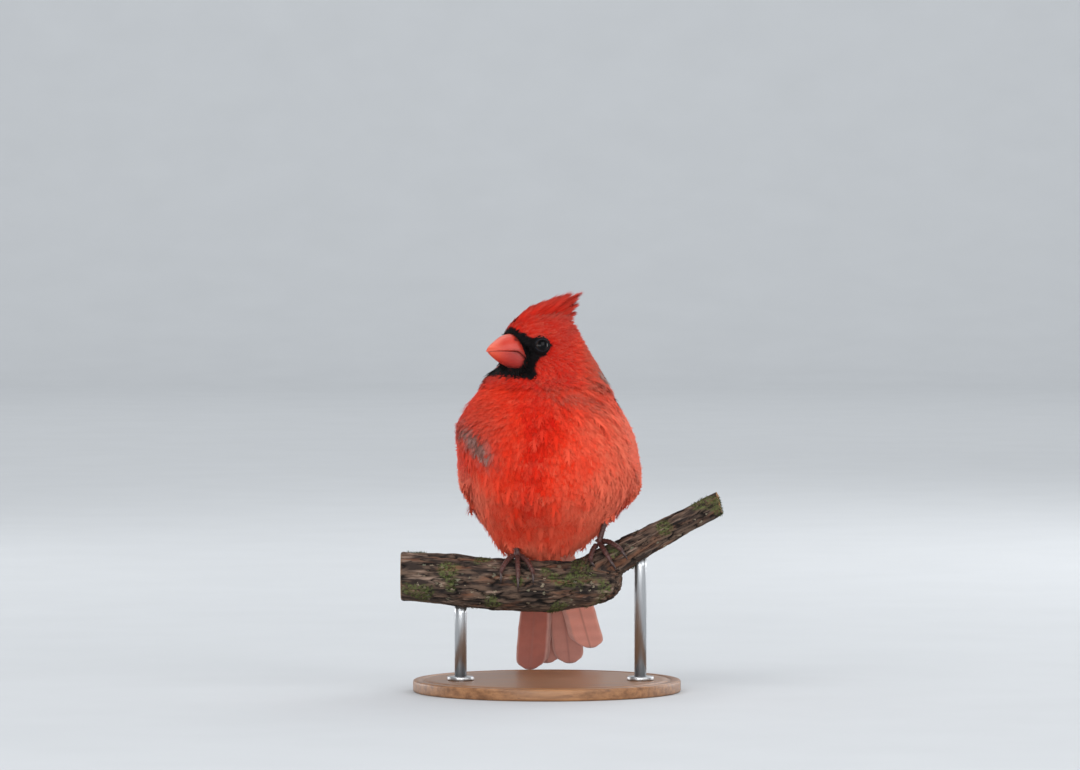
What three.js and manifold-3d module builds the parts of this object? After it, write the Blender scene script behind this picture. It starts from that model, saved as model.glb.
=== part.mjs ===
// Northern cardinal, male, at life size: a fluffed bird at rest on a cut length of branch, on a plain stand.
// Millimetres, +Z up. The bird faces -Y and its left side is +X. Z = 0 is the underside of the base.
import * as THREE from 'three';
import { mergeVertices } from 'three/addons/utils/BufferGeometryUtils.js';
import Module from 'manifold-3d';

const wasm = await Module();
wasm.setup();

// Driving dimensions
const GAP = 0.3;
const VANE = 0.55;

const BASE = { radius: 56, height: 5, edge: 1, y: 6, sides: 32 };
const ROD = { radius: 2.5, length: 60, sides: 16, right: -36, left: 39 };

// The body's outline: x of its two sides, y of its front and back, each by height.
const BODY = { bottom: 58.7, top: 158, sides: 34, levels: 26, squareness: 2.1 };
const SIDE_RIGHT = [
  [58.7, -7], [59.6, -12.5], [61.2, -17.5], [66.6, -24], [74, -30], [84.5, -34.8], [95, -37.4], [105, -39.1],
  [111, -39], [116, -37.2], [124, -31.6], [128.3, -28], [133.3, -25.5], [137.4, -20.5], [143, -13],
  [150, -6.5], [156, -1], [158, 2],
];
const SIDE_LEFT = [
  [58.7, -3], [59.6, 3.5], [61.2, 9.5], [66.6, 20.5], [74, 29.5], [80.3, 34.6], [88.7, 38.8], [94, 39.6],
  [101.2, 38], [108.7, 35.6], [122, 29.6], [133.7, 23.3], [139.9, 19.6], [147.8, 14.8], [153, 11.3],
  [158, 5.5],
];
const FRONT = [
  [58.7, 9], [59.6, 5], [61.2, 1.5], [64, -4], [66.6, -11], [70, -20], [74, -29], [84.5, -39.8], [95, -42.5],
  [105, -41.5],
  [115, -37.2], [122, -31.5], [128, -24.5], [133, -18.5], [138, -13], [145, -7], [152, -1], [158, 6],
];
const BACK = [
  [58.7, 15], [59.6, 19], [61.2, 23.5], [66.6, 34], [70, 38.5], [74, 42], [80, 44.5], [88, 44.2], [95, 42.8],
  [105, 39.5], [115, 35], [122, 31], [133, 24.8], [147, 18], [153, 14.5], [158, 9.5],
];

// The head stands on eye level at the middle plane and turns to the bird's right.
const HEAD = { x: -9.4, y: -7, z: 145, turn: 48, sides: 24, stations: 16, squareness: 2.15 };
const HEAD_HALF_WIDTH = [
  [-24.5, 0.8], [-22.5, 6], [-18, 9.6], [-12, 11.5], [-6, 11.9], [-1, 11.1], [3, 9.6], [6, 8], [8, 6.2],
  [9.3, 3.8], [9.9, 0.8],
];
const HEAD_TOP = [
  [-24.5, 2], [-22.5, 7], [-18, 10.3], [-12, 12], [-6, 12.5], [0, 12.3], [4, 11.6], [7, 10.1], [8.8, 7.6],
  [9.6, 4.8], [9.9, 1.5],
];
const HEAD_BOTTOM = [
  [-24.5, 0], [-22.5, -5], [-18, -10], [-12, -13], [-6, -14.5], [0, -14.5], [4, -13.5], [7, -11.5], [9, -8],
  [9.9, -2],
];
// Cuts between head and neck and between neck and torso: height at the middle of the neck, and slope.
const NECK_CUT = { height: 137.5, slope: 16 };
const TORSO_CUT = { height: 129.5, slope: 10 };

// Eyes by the head's frame, each turned ahead by some degrees and a little upward.
const EYE = { radius: 4.7, sides: 16, forward: -1.3, out: 7.1, up: 0.1, ahead: 17, raise: 0.06 };
// A lid's section is a kite round the rim of the aperture: how far it reaches out and stands proud.
const LID = { aperture: 3.1, wide: 0.5, reach: 0.4, proud: 0.6, sink: 0.1, corners: 4 };

// The bill in the head's frame: forward distance with ridge, mouth line, keel and half width.
const BILL = {
  back: 3.9, tip: 21, sides: 5, stations: 12, least: 0.5, leastWidth: 0.3, inset: 0.35, roundness: 0.85,
};
const BILL_RIDGE = [[3.9, 4.9], [8.5, 5.0], [12.8, 3.9], [15.8, 2.3], [18.4, 0.8], [20, -0.4], [21, -1.7]];
const BILL_MOUTH = [[3.9, -6.2], [5.6, -4.3], [8.4, -2.3], [12.5, -1.9], [17, -1.9], [21, -2.2]];
const BILL_KEEL = [[3.9, -9.8], [5, -9.7], [8, -8.9], [12.3, -7.4], [15.7, -5.7], [18.5, -3.9], [19.9, -2.8]];
const BILL_HALF_WIDTH = [
  [3.9, 6.7], [5, 6.6], [8.5, 5.8], [12.3, 4.6], [15, 3.4], [18, 2.1], [20, 1.0], [21, 0.4],
];
const NOSTRIL = { radius: 0.75, length: 1.5, height: 0.8, forward: 10, out: 4.55, up: 1.6 };

// Crest feathers, front to back: root and tip in the head's frame, as forward and up, and the half width of
// the fan at both.
const CREST = {
  steps: 4, ridgeLean: 22, sideLean: 58, rootDip: 1.6, rise: 0.85, rootWidth: 0.8, taper: 1.7, tip: 0.08,
};
const CREST_FAN_MOST = 4.6;
const CREST_ROWS = [
  { root: [7.2, 8.6], tip: [-5, 16.6], fan: 1.7, tipFan: 1.2, width: 5 },
  { root: [4, 10.4], tip: [-13, 18.9], fan: 3.6, tipFan: 1.8, width: 6.4 },
  { root: [0.4, 11.4], tip: [-21, 20.8], fan: 1.8, tipFan: 1.2, width: 6.6 },
  { root: [-3, 11], tip: [-27, 21.7], fan: 4, tipFan: 1.7, width: 7 },
  { root: [-6.5, 11.2], tip: [-33, 21.4], fan: 1.6, tipFan: 0.8, width: 6.4 },
  { root: [-9.5, 9.6], tip: [-31, 17.4], fan: 4.6, tipFan: 2, width: 7 },
  { root: [-13.5, 8.6], tip: [-29.5, 13.2], fan: 3.2, tipFan: 1.6, width: 6.4 },
];

// The folded wings lie on a rounded carrier: along its axis, round from its ridge and out from its surface.
const WING = { x: 0, y: -1, z: 96, dip: 30, shoulder: -9, shieldEnd: 10 };
const WING_RADIUS = [
  [-14, 35.5], [-4, 37.3], [5, 37.4], [14, 35.3], [24, 31], [34, 25.8], [44, 20.8], [54, 16.4], [64, 12.8],
  [76, 10.5],
];
const FLIGHT = {
  steps: 4, armRoot: 4.5, handRoot: 9.8, strip: 4.8, rootAngle: [50, 104], startStation: 10, endStation: 68,
  out: -1.3, slope: 0.42, deep: -5.2, stripTop: -1.2, stripAngle: [40, 105], split: 0.8,
  tertials: [31, 38, 43], secondaries: [46, 48, 49.5], primaries: [54.5, 60, 65, 68, 67, 62],
  endAngle: { first: [20, 62], last: [74, 124] }, width: { tertial: 9, secondary: 8, primary: 7.6 },
};
const COVERTS = {
  angle: [44.5, 106],
  greater: { count: 7, root: 7, tip: 25, first: 56, last: 104.5, width: 7, out: 1.3, slope: 0.2 },
  median: { count: 7, root: -1, tip: 14, first: 51, last: 103.5, width: 5, out: 2.3, slope: 0 },
  shield: [-0.7, 1.9], steps: 4, blunt: 0.6, arch: 1.4, sweep: 0.1,
};
// A wing vane keeps its width to its blunt share, then rounds off to its least share at the tip.
const WING_VANE = { blunt: 0.78, crowding: 1.35, rootWidth: 0.8, least: 0.03 };
// The hollows for the wings: depth, the flight feathers' angles by station, and room round the shield.
const BED = { deep: -5.6, shallow: -1.05, high: 14, start: 4.2, end: 76, shieldEnd: 30, room: [0.6, 0.8] };
const BED_LOW = [[4.2, 36], [14, 31], [22, 25.5], [31, 16.5], [43, 16.5], [50, 21], [76, 28]];
const BED_HIGH = [[4.2, 108], [14, 109.5], [31, 113], [48, 119], [62, 126], [76, 131]];

// The tail hangs back and down, seen from below by a viewer in front. Its feathers lie in three stacks: the
// inner ones at the middle and the outer ones at either side, those of the bird's left drawn in shorter.
const TAIL = {
  x: 0.6, y: 37.5, z: 69, dip: 48, length: 86.5, drift: 4.6, width: 13, fan: 12.3, rootFan: 2.6,
  top: 2.4, level: 0.95, spread: [0.19, 0.38, 0.9, 1], shorter: [1.5, 1, 0.5, 0], leftShorter: 12,
  steps: 5, crowding: 1.2, blunt: 0.86, cornering: 2.4, least: 0.12,
  rootWidth: 0.42, widest: 0.7, camber: 0.35,
  root: { from: -7, to: 5, half: 5, low: -3.2, high: 2.7 },
};
const TAIL_COVERTS = {
  upper: { up: 5.2, length: 24 }, under: { up: -5.6, length: 30 },
  count: 4, start: -2, shorter: 5, width: 6.5, fan: 5.2, rootFan: 4.2,
  root: { from: -7, to: 1.5, half: 6, thick: 2 },
};
const TAIL_POCKET = { from: -7.3, to: 60, half: 7.7, low: -7.7, high: 6.7 };

// Branch: centre line of the thick limb and of the branch that forks from it, with radii.
const LIMB = [
  [-61, 48.6, 10.2], [-46, 47.6, 10.6], [-29, 45.8, 10.8], [-13, 44.8, 10.8], [2, 44.2, 10.6], [14, 45, 9.8],
  [22, 45.8, 8.9], [26, 46.2, 7.9], [29, 46.4, 6.1], [30.8, 46.5, 3.9], [31.4, 46.5, 2.4],
];
const LIMB_RINGS = { steps: 13, sides: 16 };
const FORK_RINGS = { steps: 9, sides: 14 };
const FORK = [[4, 45], [14, 48.4], [26, 54.5], [38, 61], [54, 69.6], [72, 79.2]];
const FORK_RADIUS = [[4, 7.6], [14, 7.4], [26, 7], [38, 6.2], [54, 5.3], [72, 4.8]];

const FEET = [
  { name: 'right', x: -13, z: 44.8, radius: 10.8, slope: -2, y: -3.2, topX: -13.4, topZ: 62.8,
    wrap: { inner: 1, middle: 1, outer: 1, hind: 1 } },
  { name: 'left', x: 26, z: 54.5, radius: 7.4, slope: 28.6, y: -2.4, topX: 25, topZ: 70.2,
    wrap: { inner: 0.95, middle: 1.2, outer: 1.3, hind: 1.15 } },
];

const PAD = { shift: 0.2, angle: 6, lift: 0.6, size: [3.4, 2.2, 1.5] };
const SHIN = { into: 1, radii: [1.25, 1.1, 1.0, 1.1, 1.25] };
const THIGH = { lean: 0.05, radii: [2.4, 3.8, 4.8, 5.6, 6], sides: 12 };
const TOES = [
  { name: 'inner', start: 14, end: 60, shiftStart: -1.9, shiftEnd: -6.4, claw: 26 },
  { name: 'middle', start: 14, end: 72, shiftStart: 0.2, shiftEnd: 0.8, claw: 28 },
  { name: 'outer', start: 14, end: 60, shiftStart: 2.3, shiftEnd: 7, claw: 26 },
  { name: 'hind', start: -14, end: -58, shiftStart: 0.4, shiftEnd: 0.6, claw: -34 },
];
// Radii of a toe over its joints, and the room under it above the bark.
const TOE = { radius: 1.0, clear: 0.1, radii: [1.0, 1.0, 1.1, 0.95, 1.05, 0.9, 0.98, 0.8], points: 7 };
const CLAW = {
  radii: [0.78, 0.72, 0.56, 0.38, 0.16], points: 5, sides: 7, arch: 0.5, droop: 0.35, drift: 0.25,
};

const COLOURS = {
  red: 0xc8342a, darkRed: 0xa8302a, dullRed: 0x8f4a42, coral: 0xe2674a, eye: 0x0c0d12, horn: 0x3a2a2c,
  bark: 0x4a3c33, wood: 0x8d6d4c, steel: 0x9a9c9e,
};

// Small helpers
const vec = (x, y, z) => new THREE.Vector3(x, y, z);
const rad = THREE.MathUtils.degToRad;
const mix = THREE.MathUtils.lerp;

function smooth(points) {
  const slope = points.map((p, i) => {
    const before = points[Math.max(i - 1, 0)];
    const after = points[Math.min(i + 1, points.length - 1)];
    return (after[1] - before[1]) / (after[0] - before[0]);
  });
  return (at) => {
    let i = 0;
    while (i < points.length - 2 && at > points[i + 1][0]) i += 1;
    const width = points[i + 1][0] - points[i][0];
    const t = THREE.MathUtils.clamp((at - points[i][0]) / width, 0, 1);
    const a = points[i][1];
    const b = points[i + 1][1];
    const curve = 2 * t ** 3 - 3 * t ** 2;
    const bend = (t ** 3 - 2 * t ** 2 + t) * slope[i] * width + (t ** 3 - t ** 2) * slope[i + 1] * width;
    return a * (1 + curve) - b * curve + bend;
  };
}

// A geometry from points and triangles, turned inside out if its volume is negative.
function bodyOf(points, triangles) {
  let volume = 0;
  for (const [a, b, c] of triangles) volume += points[a].dot(points[b].clone().cross(points[c]));
  const order = volume < 0 ? triangles.map(([a, b, c]) => [a, c, b]) : triangles;
  const geometry = new THREE.BufferGeometry();
  geometry.setAttribute('position', new THREE.Float32BufferAttribute(points.flatMap((p) => p.toArray()), 3));
  geometry.setIndex(order.flat());
  return geometry;
}

// A closed body through rings of points, with a fan round the middle of each end ring.
function loft(rings) {
  const count = rings[0].length;
  const points = rings.flat();
  const triangles = [];
  for (let i = 0; i < rings.length - 1; i += 1) {
    for (let j = 0; j < count; j += 1) {
      const k = (j + 1) % count;
      const a = i * count + j;
      const b = i * count + k;
      triangles.push([a, b, b + count], [a, b + count, a + count]);
    }
  }
  const lastRing = rings.length - 1;
  for (const [ring, first, turn] of [[rings[0], 0, 1], [rings[lastRing], lastRing * count, -1]]) {
    const middle = points.length;
    points.push(ring.reduce((sum, p) => sum.add(p), vec(0, 0, 0)).divideScalar(count));
    for (let j = 0; j < count; j += 1) {
      const k = (j + 1) % count;
      triangles.push(turn > 0 ? [middle, first + k, first + j] : [middle, first + j, first + k]);
    }
  }
  return bodyOf(points, triangles);
}

// A thin blade: rows of points across it, each with its outward direction and half thickness.
// Both faces are split alike.
function blade(rows) {
  const across = rows[0].length;
  const side = (sign) => rows.flat().map(({ at, out, half }) => at.clone().addScaledVector(out, sign * half));
  const points = [...side(1), ...side(-1)];
  const under = rows.length * across;
  const triangles = [];
  const quad = (a, b, c, d) => triangles.push([a, b, c], [a, c, d]);
  for (let i = 0; i < rows.length - 1; i += 1) {
    for (let j = 0; j < across - 1; j += 1) {
      const a = i * across + j;
      const [b, c, d] = [a + 1, a + 1 + across, a + across];
      quad(a, b, c, d);
      triangles.push([a + under, c + under, b + under], [a + under, d + under, c + under]);
    }
    const first = i * across;
    const last = first + across - 1;
    quad(first, first + across, first + across + under, first + under);
    quad(last, last + under, last + across + under, last + across);
  }
  const end = (rows.length - 1) * across;
  for (let j = 0; j < across - 1; j += 1) {
    quad(j, j + under, j + 1 + under, j + 1);
    quad(end + j, end + j + 1, end + j + 1 + under, end + j + under);
  }
  return bodyOf(points, triangles);
}

// The same shape with points only, and the points that coincide made one.
function joinedPoints(geometry) {
  const bare = geometry.clone();
  bare.deleteAttribute('normal');
  bare.deleteAttribute('uv');
  return mergeVertices(bare, 1e-4);
}

// Solids for joining and cutting
function solid(geometry) {
  const merged = joinedPoints(geometry);
  return new wasm.Manifold(new wasm.Mesh({
    numProp: 3,
    vertProperties: new Float32Array(merged.attributes.position.array),
    triVerts: new Uint32Array(merged.index.array),
  }));
}

function largest(shape) {
  return shape.decompose().reduce((best, part) => (part.volume() > best.volume() ? part : best));
}

function geometryOf(shape) {
  const { vertProperties, triVerts, numProp } = largest(shape).getMesh();
  const geometry = new THREE.BufferGeometry();
  const places = [];
  for (let i = 0; i < vertProperties.length; i += numProp) places.push(...vertProperties.slice(i, i + 3));
  geometry.setAttribute('position', new THREE.Float32BufferAttribute(places, 3));
  geometry.setIndex([...triVerts]);
  return geometry;
}

const join = (shapes) => shapes.reduce((sum, shape) => sum.add(shape));
const cut = (shape, tools) => tools.reduce((rest, tool) => rest.subtract(tool), shape);

const group = new THREE.Group();
function add(name, geometry, colour, roughness = 0.8, metalness = 0) {
  const material = new THREE.MeshStandardMaterial({ color: colour, roughness, metalness });
  const mesh = new THREE.Mesh(geometry, material);
  mesh.name = name;
  group.add(mesh);
}

// Body
const sideRight = smooth(SIDE_RIGHT);
const sideLeft = smooth(SIDE_LEFT);
const front = smooth(FRONT);
const back = smooth(BACK);

function roundPower(value, power) {
  return Math.sign(value) * Math.abs(value) ** power;
}

function bodyRing(z) {
  const middle = vec((sideLeft(z) + sideRight(z)) / 2, (front(z) + back(z)) / 2, z);
  const halfX = (sideLeft(z) - sideRight(z)) / 2;
  const halfY = (back(z) - front(z)) / 2;
  const power = 2 / BODY.squareness;
  return Array.from({ length: BODY.sides }, (_, i) => {
    const turn = (2 * Math.PI * i) / BODY.sides;
    const across = halfX * roundPower(Math.cos(turn), power);
    return middle.clone().add(vec(across, halfY * roundPower(Math.sin(turn), power), 0));
  });
}

function bodyShape() {
  const rings = [];
  for (let i = 0; i < BODY.levels; i += 1) {
    const t = (1 - Math.cos((Math.PI * i) / (BODY.levels - 1))) / 2;
    rings.push(bodyRing(mix(BODY.bottom, BODY.top, t)));
  }
  return solid(loft(rings));
}

// Head
const headForward = vec(-Math.sin(rad(HEAD.turn)), -Math.cos(rad(HEAD.turn)), 0);
const headLeft = vec(Math.cos(rad(HEAD.turn)), -Math.sin(rad(HEAD.turn)), 0);

function fromHead(start, forward, left) {
  return start.addScaledVector(headForward, forward).addScaledVector(headLeft, left);
}

function headPoint(forward, left, up) {
  return fromHead(vec(HEAD.x, HEAD.y, HEAD.z + up), forward, left);
}

function headDirection(forward, left, up) {
  return fromHead(vec(0, 0, up), forward, left).normalize();
}

function headShape() {
  const width = smooth(HEAD_HALF_WIDTH);
  const top = smooth(HEAD_TOP);
  const bottom = smooth(HEAD_BOTTOM);
  const rear = HEAD_TOP[0][0];
  const nose = HEAD_TOP[HEAD_TOP.length - 1][0];
  const power = 2 / HEAD.squareness;
  const rings = [];
  for (let i = 0; i < HEAD.stations; i += 1) {
    const forward = mix(rear, nose, (1 - Math.cos((Math.PI * i) / (HEAD.stations - 1))) / 2);
    const middle = (top(forward) + bottom(forward)) / 2;
    const half = (top(forward) - bottom(forward)) / 2;
    rings.push(Array.from({ length: HEAD.sides }, (_, j) => {
      const turn = (2 * Math.PI * j) / HEAD.sides;
      const left = width(forward) * roundPower(Math.sin(turn), power);
      return headPoint(forward, left, middle + half * roundPower(Math.cos(turn), power));
    }));
  }
  return solid(loft(rings));
}

// A large block whose flat lower face passes through the neck at a height and slope.
function aboveNeck({ height, slope }, lift) {
  const size = 400;
  const geometry = new THREE.BoxGeometry(size, size, size);
  geometry.translate(0, 0, size / 2 + lift);
  geometry.rotateX(rad(slope));
  geometry.translate(0, 0, height);
  return solid(geometry);
}

function turned(geometry, direction) {
  const turn = new THREE.Quaternion().setFromUnitVectors(vec(0, 0, 1), direction);
  return geometry.applyQuaternion(turn);
}

// Eyes, and the lids round them
function eyeParts(side) {
  const look = headDirection(Math.sin(rad(EYE.ahead)), side * Math.cos(rad(EYE.ahead)), EYE.raise);
  const centre = headPoint(EYE.forward, side * EYE.out, EYE.up);
  const ball = (extra) => turned(new THREE.SphereGeometry(EYE.radius + extra, EYE.sides, EYE.sides / 2), look)
    .translate(centre.x, centre.y, centre.z);
  const depth = Math.sqrt(EYE.radius ** 2 - LID.aperture ** 2);
  const rim = Array.from({ length: LID.corners + 1 }, (_, i) => {
    const turn = (2 * Math.PI * i) / LID.corners;
    const out = LID.aperture + LID.reach + LID.wide * Math.cos(turn);
    return new THREE.Vector2(out, depth + LID.sink + LID.proud * Math.sin(turn));
  });
  const ring = new THREE.LatheGeometry(rim, EYE.sides);
  ring.rotateX(Math.PI / 2);
  const lids = turned(ring, look).translate(centre.x, centre.y, centre.z);
  return { ball, lids };
}

// Bill
const ridge = smooth(BILL_RIDGE);
const mouth = smooth(BILL_MOUTH);
const keel = smooth(BILL_KEEL);
const billWidth = smooth(BILL_HALF_WIDTH);

function billShape(upper, extra) {
  const tip = (upper ? BILL.tip : BILL_KEEL[BILL_KEEL.length - 1][0]) + extra;
  const rings = [];
  for (let i = 0; i < BILL.stations; i += 1) {
    const forward = mix(BILL.back - extra, tip, Math.sin((Math.PI / 2) * (i / (BILL.stations - 1))));
    const line = mouth(forward) + (upper ? -extra : extra - GAP);
    const end = upper
      ? Math.max(ridge(forward) + extra, line + BILL.least)
      : Math.min(keel(forward) - extra, line - BILL.least);
    const width = Math.max(billWidth(forward) - (upper ? 0 : BILL.inset), BILL.leastWidth) + extra;
    const ring = [];
    for (let j = 0; j <= BILL.sides * 2; j += 1) {
      const turn = (Math.PI * j) / (BILL.sides * 2);
      const up = line + (end - line) * Math.sin(turn) ** BILL.roundness;
      ring.push(headPoint(forward, width * Math.cos(turn), up));
    }
    rings.push(ring);
  }
  return solid(loft(rings));
}

function nostril(side) {
  const pit = new THREE.SphereGeometry(NOSTRIL.radius, 8, 6);
  pit.scale(NOSTRIL.length, NOSTRIL.height, NOSTRIL.height).rotateZ(rad(-90 - HEAD.turn));
  const at = headPoint(NOSTRIL.forward, side * NOSTRIL.out, NOSTRIL.up);
  return solid(pit.translate(at.x, at.y, at.z));
}

// Crest: each pair of feathers leans outward like the two sides of a roof, to look full from the side.
function crestFeather(row, side) {
  const rows = [];
  const rise = row.tip[1] - row.root[1];
  for (let i = 0; i <= CREST.steps; i += 1) {
    const t = i / CREST.steps;
    const lean = rad(mix(CREST.ridgeLean, CREST.sideLean, row.fan / CREST_FAN_MOST));
    const forward = mix(row.root[0], row.tip[0], t);
    const up = row.root[1] - CREST.rootDip * (1 - t) ** 2 + rise * t ** CREST.rise;
    const left = side * mix(row.fan, row.tipFan, t);
    const swell = mix(CREST.rootWidth, 1, Math.min(1, 2 * t));
    const taper = 1 - Math.max(0, 2 * t - 1) ** CREST.taper;
    const half = (row.width / 2) * Math.max(Math.min(swell, taper), CREST.tip);
    rows.push([1, -1].map((s) => ({
      at: headPoint(forward, left + side * s * half * Math.cos(lean), up - s * half * Math.sin(lean)),
      out: headDirection(0.1, side * Math.sin(lean), Math.cos(lean)),
      half: t === 1 ? VANE / 3 : VANE / 2,
    })));
  }
  return solid(blade(rows));
}

function crest() {
  return CREST_ROWS.flatMap((row) => [crestFeather(row, 1), crestFeather(row, -1)]);
}

// Wings
const wingRadius = smooth(WING_RADIUS);
const wingAxis = vec(0, Math.cos(rad(WING.dip)), -Math.sin(rad(WING.dip)));
const wingRidge = vec(0, Math.sin(rad(WING.dip)), Math.cos(rad(WING.dip)));

function wingOut(side, angle) {
  return vec(side * Math.sin(rad(angle)), 0, 0).addScaledVector(wingRidge, Math.cos(rad(angle)));
}

function wingPoint(side, along, angle, out) {
  return vec(WING.x, WING.y, WING.z).addScaledVector(wingAxis, along)
    .addScaledVector(wingOut(side, angle), wingRadius(along) + out);
}

// A block on the carrier between two stations, two angles that may change along it, and two heights.
function wingBlock(side, from, to, angles, low, high, steps = 6, across = 8) {
  const rows = [];
  for (let i = 0; i <= steps; i += 1) {
    const along = mix(from, to, i / steps);
    const [first, last] = angles(along);
    rows.push(Array.from({ length: across + 1 }, (_, j) => {
      const angle = mix(first, last, j / across);
      const lowPoint = wingPoint(side, along, angle, low);
      const highPoint = wingPoint(side, along, angle, high);
      return {
        at: lowPoint.clone().add(highPoint).multiplyScalar(0.5),
        out: wingOut(side, angle),
        half: (high - low) / 2,
      };
    }));
  }
  return solid(blade(rows));
}

// One feather of the wing: its outer edge by angle, its width and tip, and its dip under the next one above.
function wingFeather(side, { root, tip, edgeAngle, width, out, slope, steps, blunt = WING_VANE.blunt }) {
  const rows = [];
  for (let i = 0; i <= steps; i += 1) {
    const t = 1 - (1 - i / steps) ** WING_VANE.crowding;
    const along = mix(root, tip, t);
    const radius = wingRadius(along) + out;
    const middle = edgeAngle(along) - THREE.MathUtils.radToDeg(width / 2 / radius);
    const round = Math.sqrt(Math.max(1 - Math.max(0, (t - blunt) / (1 - blunt)) ** 2, WING_VANE.least));
    const half = (width / 2) * Math.min(1, WING_VANE.rootWidth + t) * round;
    rows.push([1, 0, -1].map((s) => {
      const angle = middle + THREE.MathUtils.radToDeg((s * half) / radius);
      const height = out - slope * (width / 2 - s * half);
      return { at: wingPoint(side, along, angle, height), out: wingOut(side, angle), half: VANE / 2 };
    }));
  }
  return solid(blade(rows));
}

const flightCount = FLIGHT.tertials.length + FLIGHT.secondaries.length + FLIGHT.primaries.length;
function flightAngle(index) {
  const inner = FLIGHT.tertials.length + FLIGHT.secondaries.length;
  const rootAngle = mix(...FLIGHT.rootAngle, index / (flightCount - 1));
  const endAngle = index < inner
    ? mix(...FLIGHT.endAngle.first, index / (inner - 1))
    : mix(...FLIGHT.endAngle.last, (index - inner) / (flightCount - inner - 1));
  return (along) => {
    const t = (along - FLIGHT.startStation) / (FLIGHT.endStation - FLIGHT.startStation);
    return mix(rootAngle, endAngle, t);
  };
}

function flightFeathers(side, tips, first, width, root, roots) {
  const { out, slope, steps } = FLIGHT;
  const feathers = tips.map((tip, i) => wingFeather(side, {
    root, tip, edgeAngle: flightAngle(first + i), width, out, slope, steps,
  }));
  return join([roots, ...feathers]);
}

function wingNodes(side) {
  const { armRoot, handRoot, width } = FLIGHT;
  const inner = FLIGHT.tertials.length + FLIGHT.secondaries.length;
  const rootStrip = (from, low, high) => (
    wingBlock(side, from, from + FLIGHT.strip, () => [low, high], FLIGHT.deep, FLIGHT.stripTop, 2, 6));
  const split = flightAngle(inner - 1)(handRoot) + FLIGHT.split;
  const armRoots = rootStrip(armRoot, FLIGHT.stripAngle[0], split);
  const handRoots = rootStrip(handRoot, split + 2 * FLIGHT.slope, FLIGHT.stripAngle[1]);
  const tertials = flightFeathers(side, FLIGHT.tertials, 0, width.tertial, armRoot + 1, armRoots);
  const secondaries = flightFeathers(
    side, FLIGHT.secondaries, FLIGHT.tertials.length, width.secondary, armRoot + 1, tertials);
  const primaries = flightFeathers(side, FLIGHT.primaries, inner, width.primary, handRoot + 1, handRoots);
  const { greater, median } = COVERTS;
  const shield = wingBlock(
    side, WING.shoulder, WING.shieldEnd, () => COVERTS.angle, ...COVERTS.shield, 5, 10);
  const tiers = [];
  for (const tier of [greater, median]) {
    for (let i = 0; i < tier.count; i += 1) {
      const edge = mix(tier.first, tier.last, i / (tier.count - 1));
      tiers.push(wingFeather(side, {
        root: tier.root,
        tip: tier.tip + COVERTS.arch * Math.sin((Math.PI * i) / (tier.count - 1)),
        edgeAngle: (along) => edge + COVERTS.sweep * (along - tier.root),
        width: tier.width,
        out: tier.out,
        slope: tier.slope,
        steps: COVERTS.steps,
        blunt: COVERTS.blunt,
      }));
    }
  }
  return { secondaries, primaries, coverts: join([shield, ...tiers]) };
}

// The hollow in the torso that a folded wing lies in.
function wingBeds(side) {
  const low = smooth(BED_LOW);
  const high = smooth(BED_HIGH);
  const flight = (along) => [low(along), high(along)];
  const shield = [COVERTS.angle[0] - BED.room[0], COVERTS.angle[1] + BED.room[1]];
  return [
    wingBlock(side, WING.shoulder - GAP, BED.shieldEnd, () => shield, BED.shallow, BED.high, 8, 10),
    wingBlock(side, BED.start, BED.end, flight, BED.deep, BED.high, 12, 10),
  ];
}

// Tail
const tailDip = rad(TAIL.dip);
const tailAlong = vec(TAIL.drift / TAIL.length, Math.cos(tailDip), -Math.sin(tailDip)).normalize();
const tailUp = vec(0, Math.sin(tailDip), Math.cos(tailDip));
const tailLeft = tailAlong.clone().cross(tailUp).normalize();

function tailPoint(along, left, up) {
  return vec(TAIL.x, TAIL.y, TAIL.z).addScaledVector(tailAlong, along).addScaledVector(tailLeft, left)
    .addScaledVector(tailUp, up);
}

// One feather of the tail or of its coverts, from its root to its length, with its place at tip and root.
function tailFeather({ up, root, length, width, place, rootPlace }) {
  const rows = [];
  for (let i = 0; i <= TAIL.steps; i += 1) {
    const t = 1 - (1 - i / TAIL.steps) ** TAIL.crowding;
    const along = mix(root, length, t);
    const left = mix(rootPlace, place, t);
    const past = Math.max(0, (t - TAIL.blunt) / (1 - TAIL.blunt));
    const round = Math.sqrt(Math.max(1 - past ** TAIL.cornering, TAIL.least));
    const share = mix(TAIL.rootWidth, 1, Math.min(1, t / TAIL.widest)) * round;
    rows.push([1, 0, -1].map((s) => ({
      at: tailPoint(along, left + (s * share * width) / 2, up - TAIL.camber * Math.abs(s) * share),
      out: tailUp,
      half: VANE / 2,
    })));
  }
  return solid(blade(rows));
}

function tailBlock({ from, to, half, low, high }) {
  const rows = [from, to].map((along) => [half, -half].map((left) => ({
    at: tailPoint(along, left, (low + high) / 2), out: tailUp, half: (high - low) / 2,
  })));
  return solid(blade(rows));
}

function tailShape() {
  const feathers = [];
  TAIL.spread.forEach((spread, i) => {
    for (const side of [-1, 1]) {
      const outer = i > 1;
      const level = outer ? i + 2 : 2 * i + (side > 0 ? 1 : 0);
      const shorter = TAIL.shorter[i] + (outer && side > 0 ? TAIL.leftShorter : 0);
      feathers.push(tailFeather({
        up: TAIL.top - level * TAIL.level,
        root: 0,
        length: TAIL.length - shorter,
        width: TAIL.width,
        place: side * spread * TAIL.fan,
        rootPlace: side * spread * TAIL.rootFan,
      }));
    }
  });
  return join([tailBlock(TAIL.root), ...feathers]);
}

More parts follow.
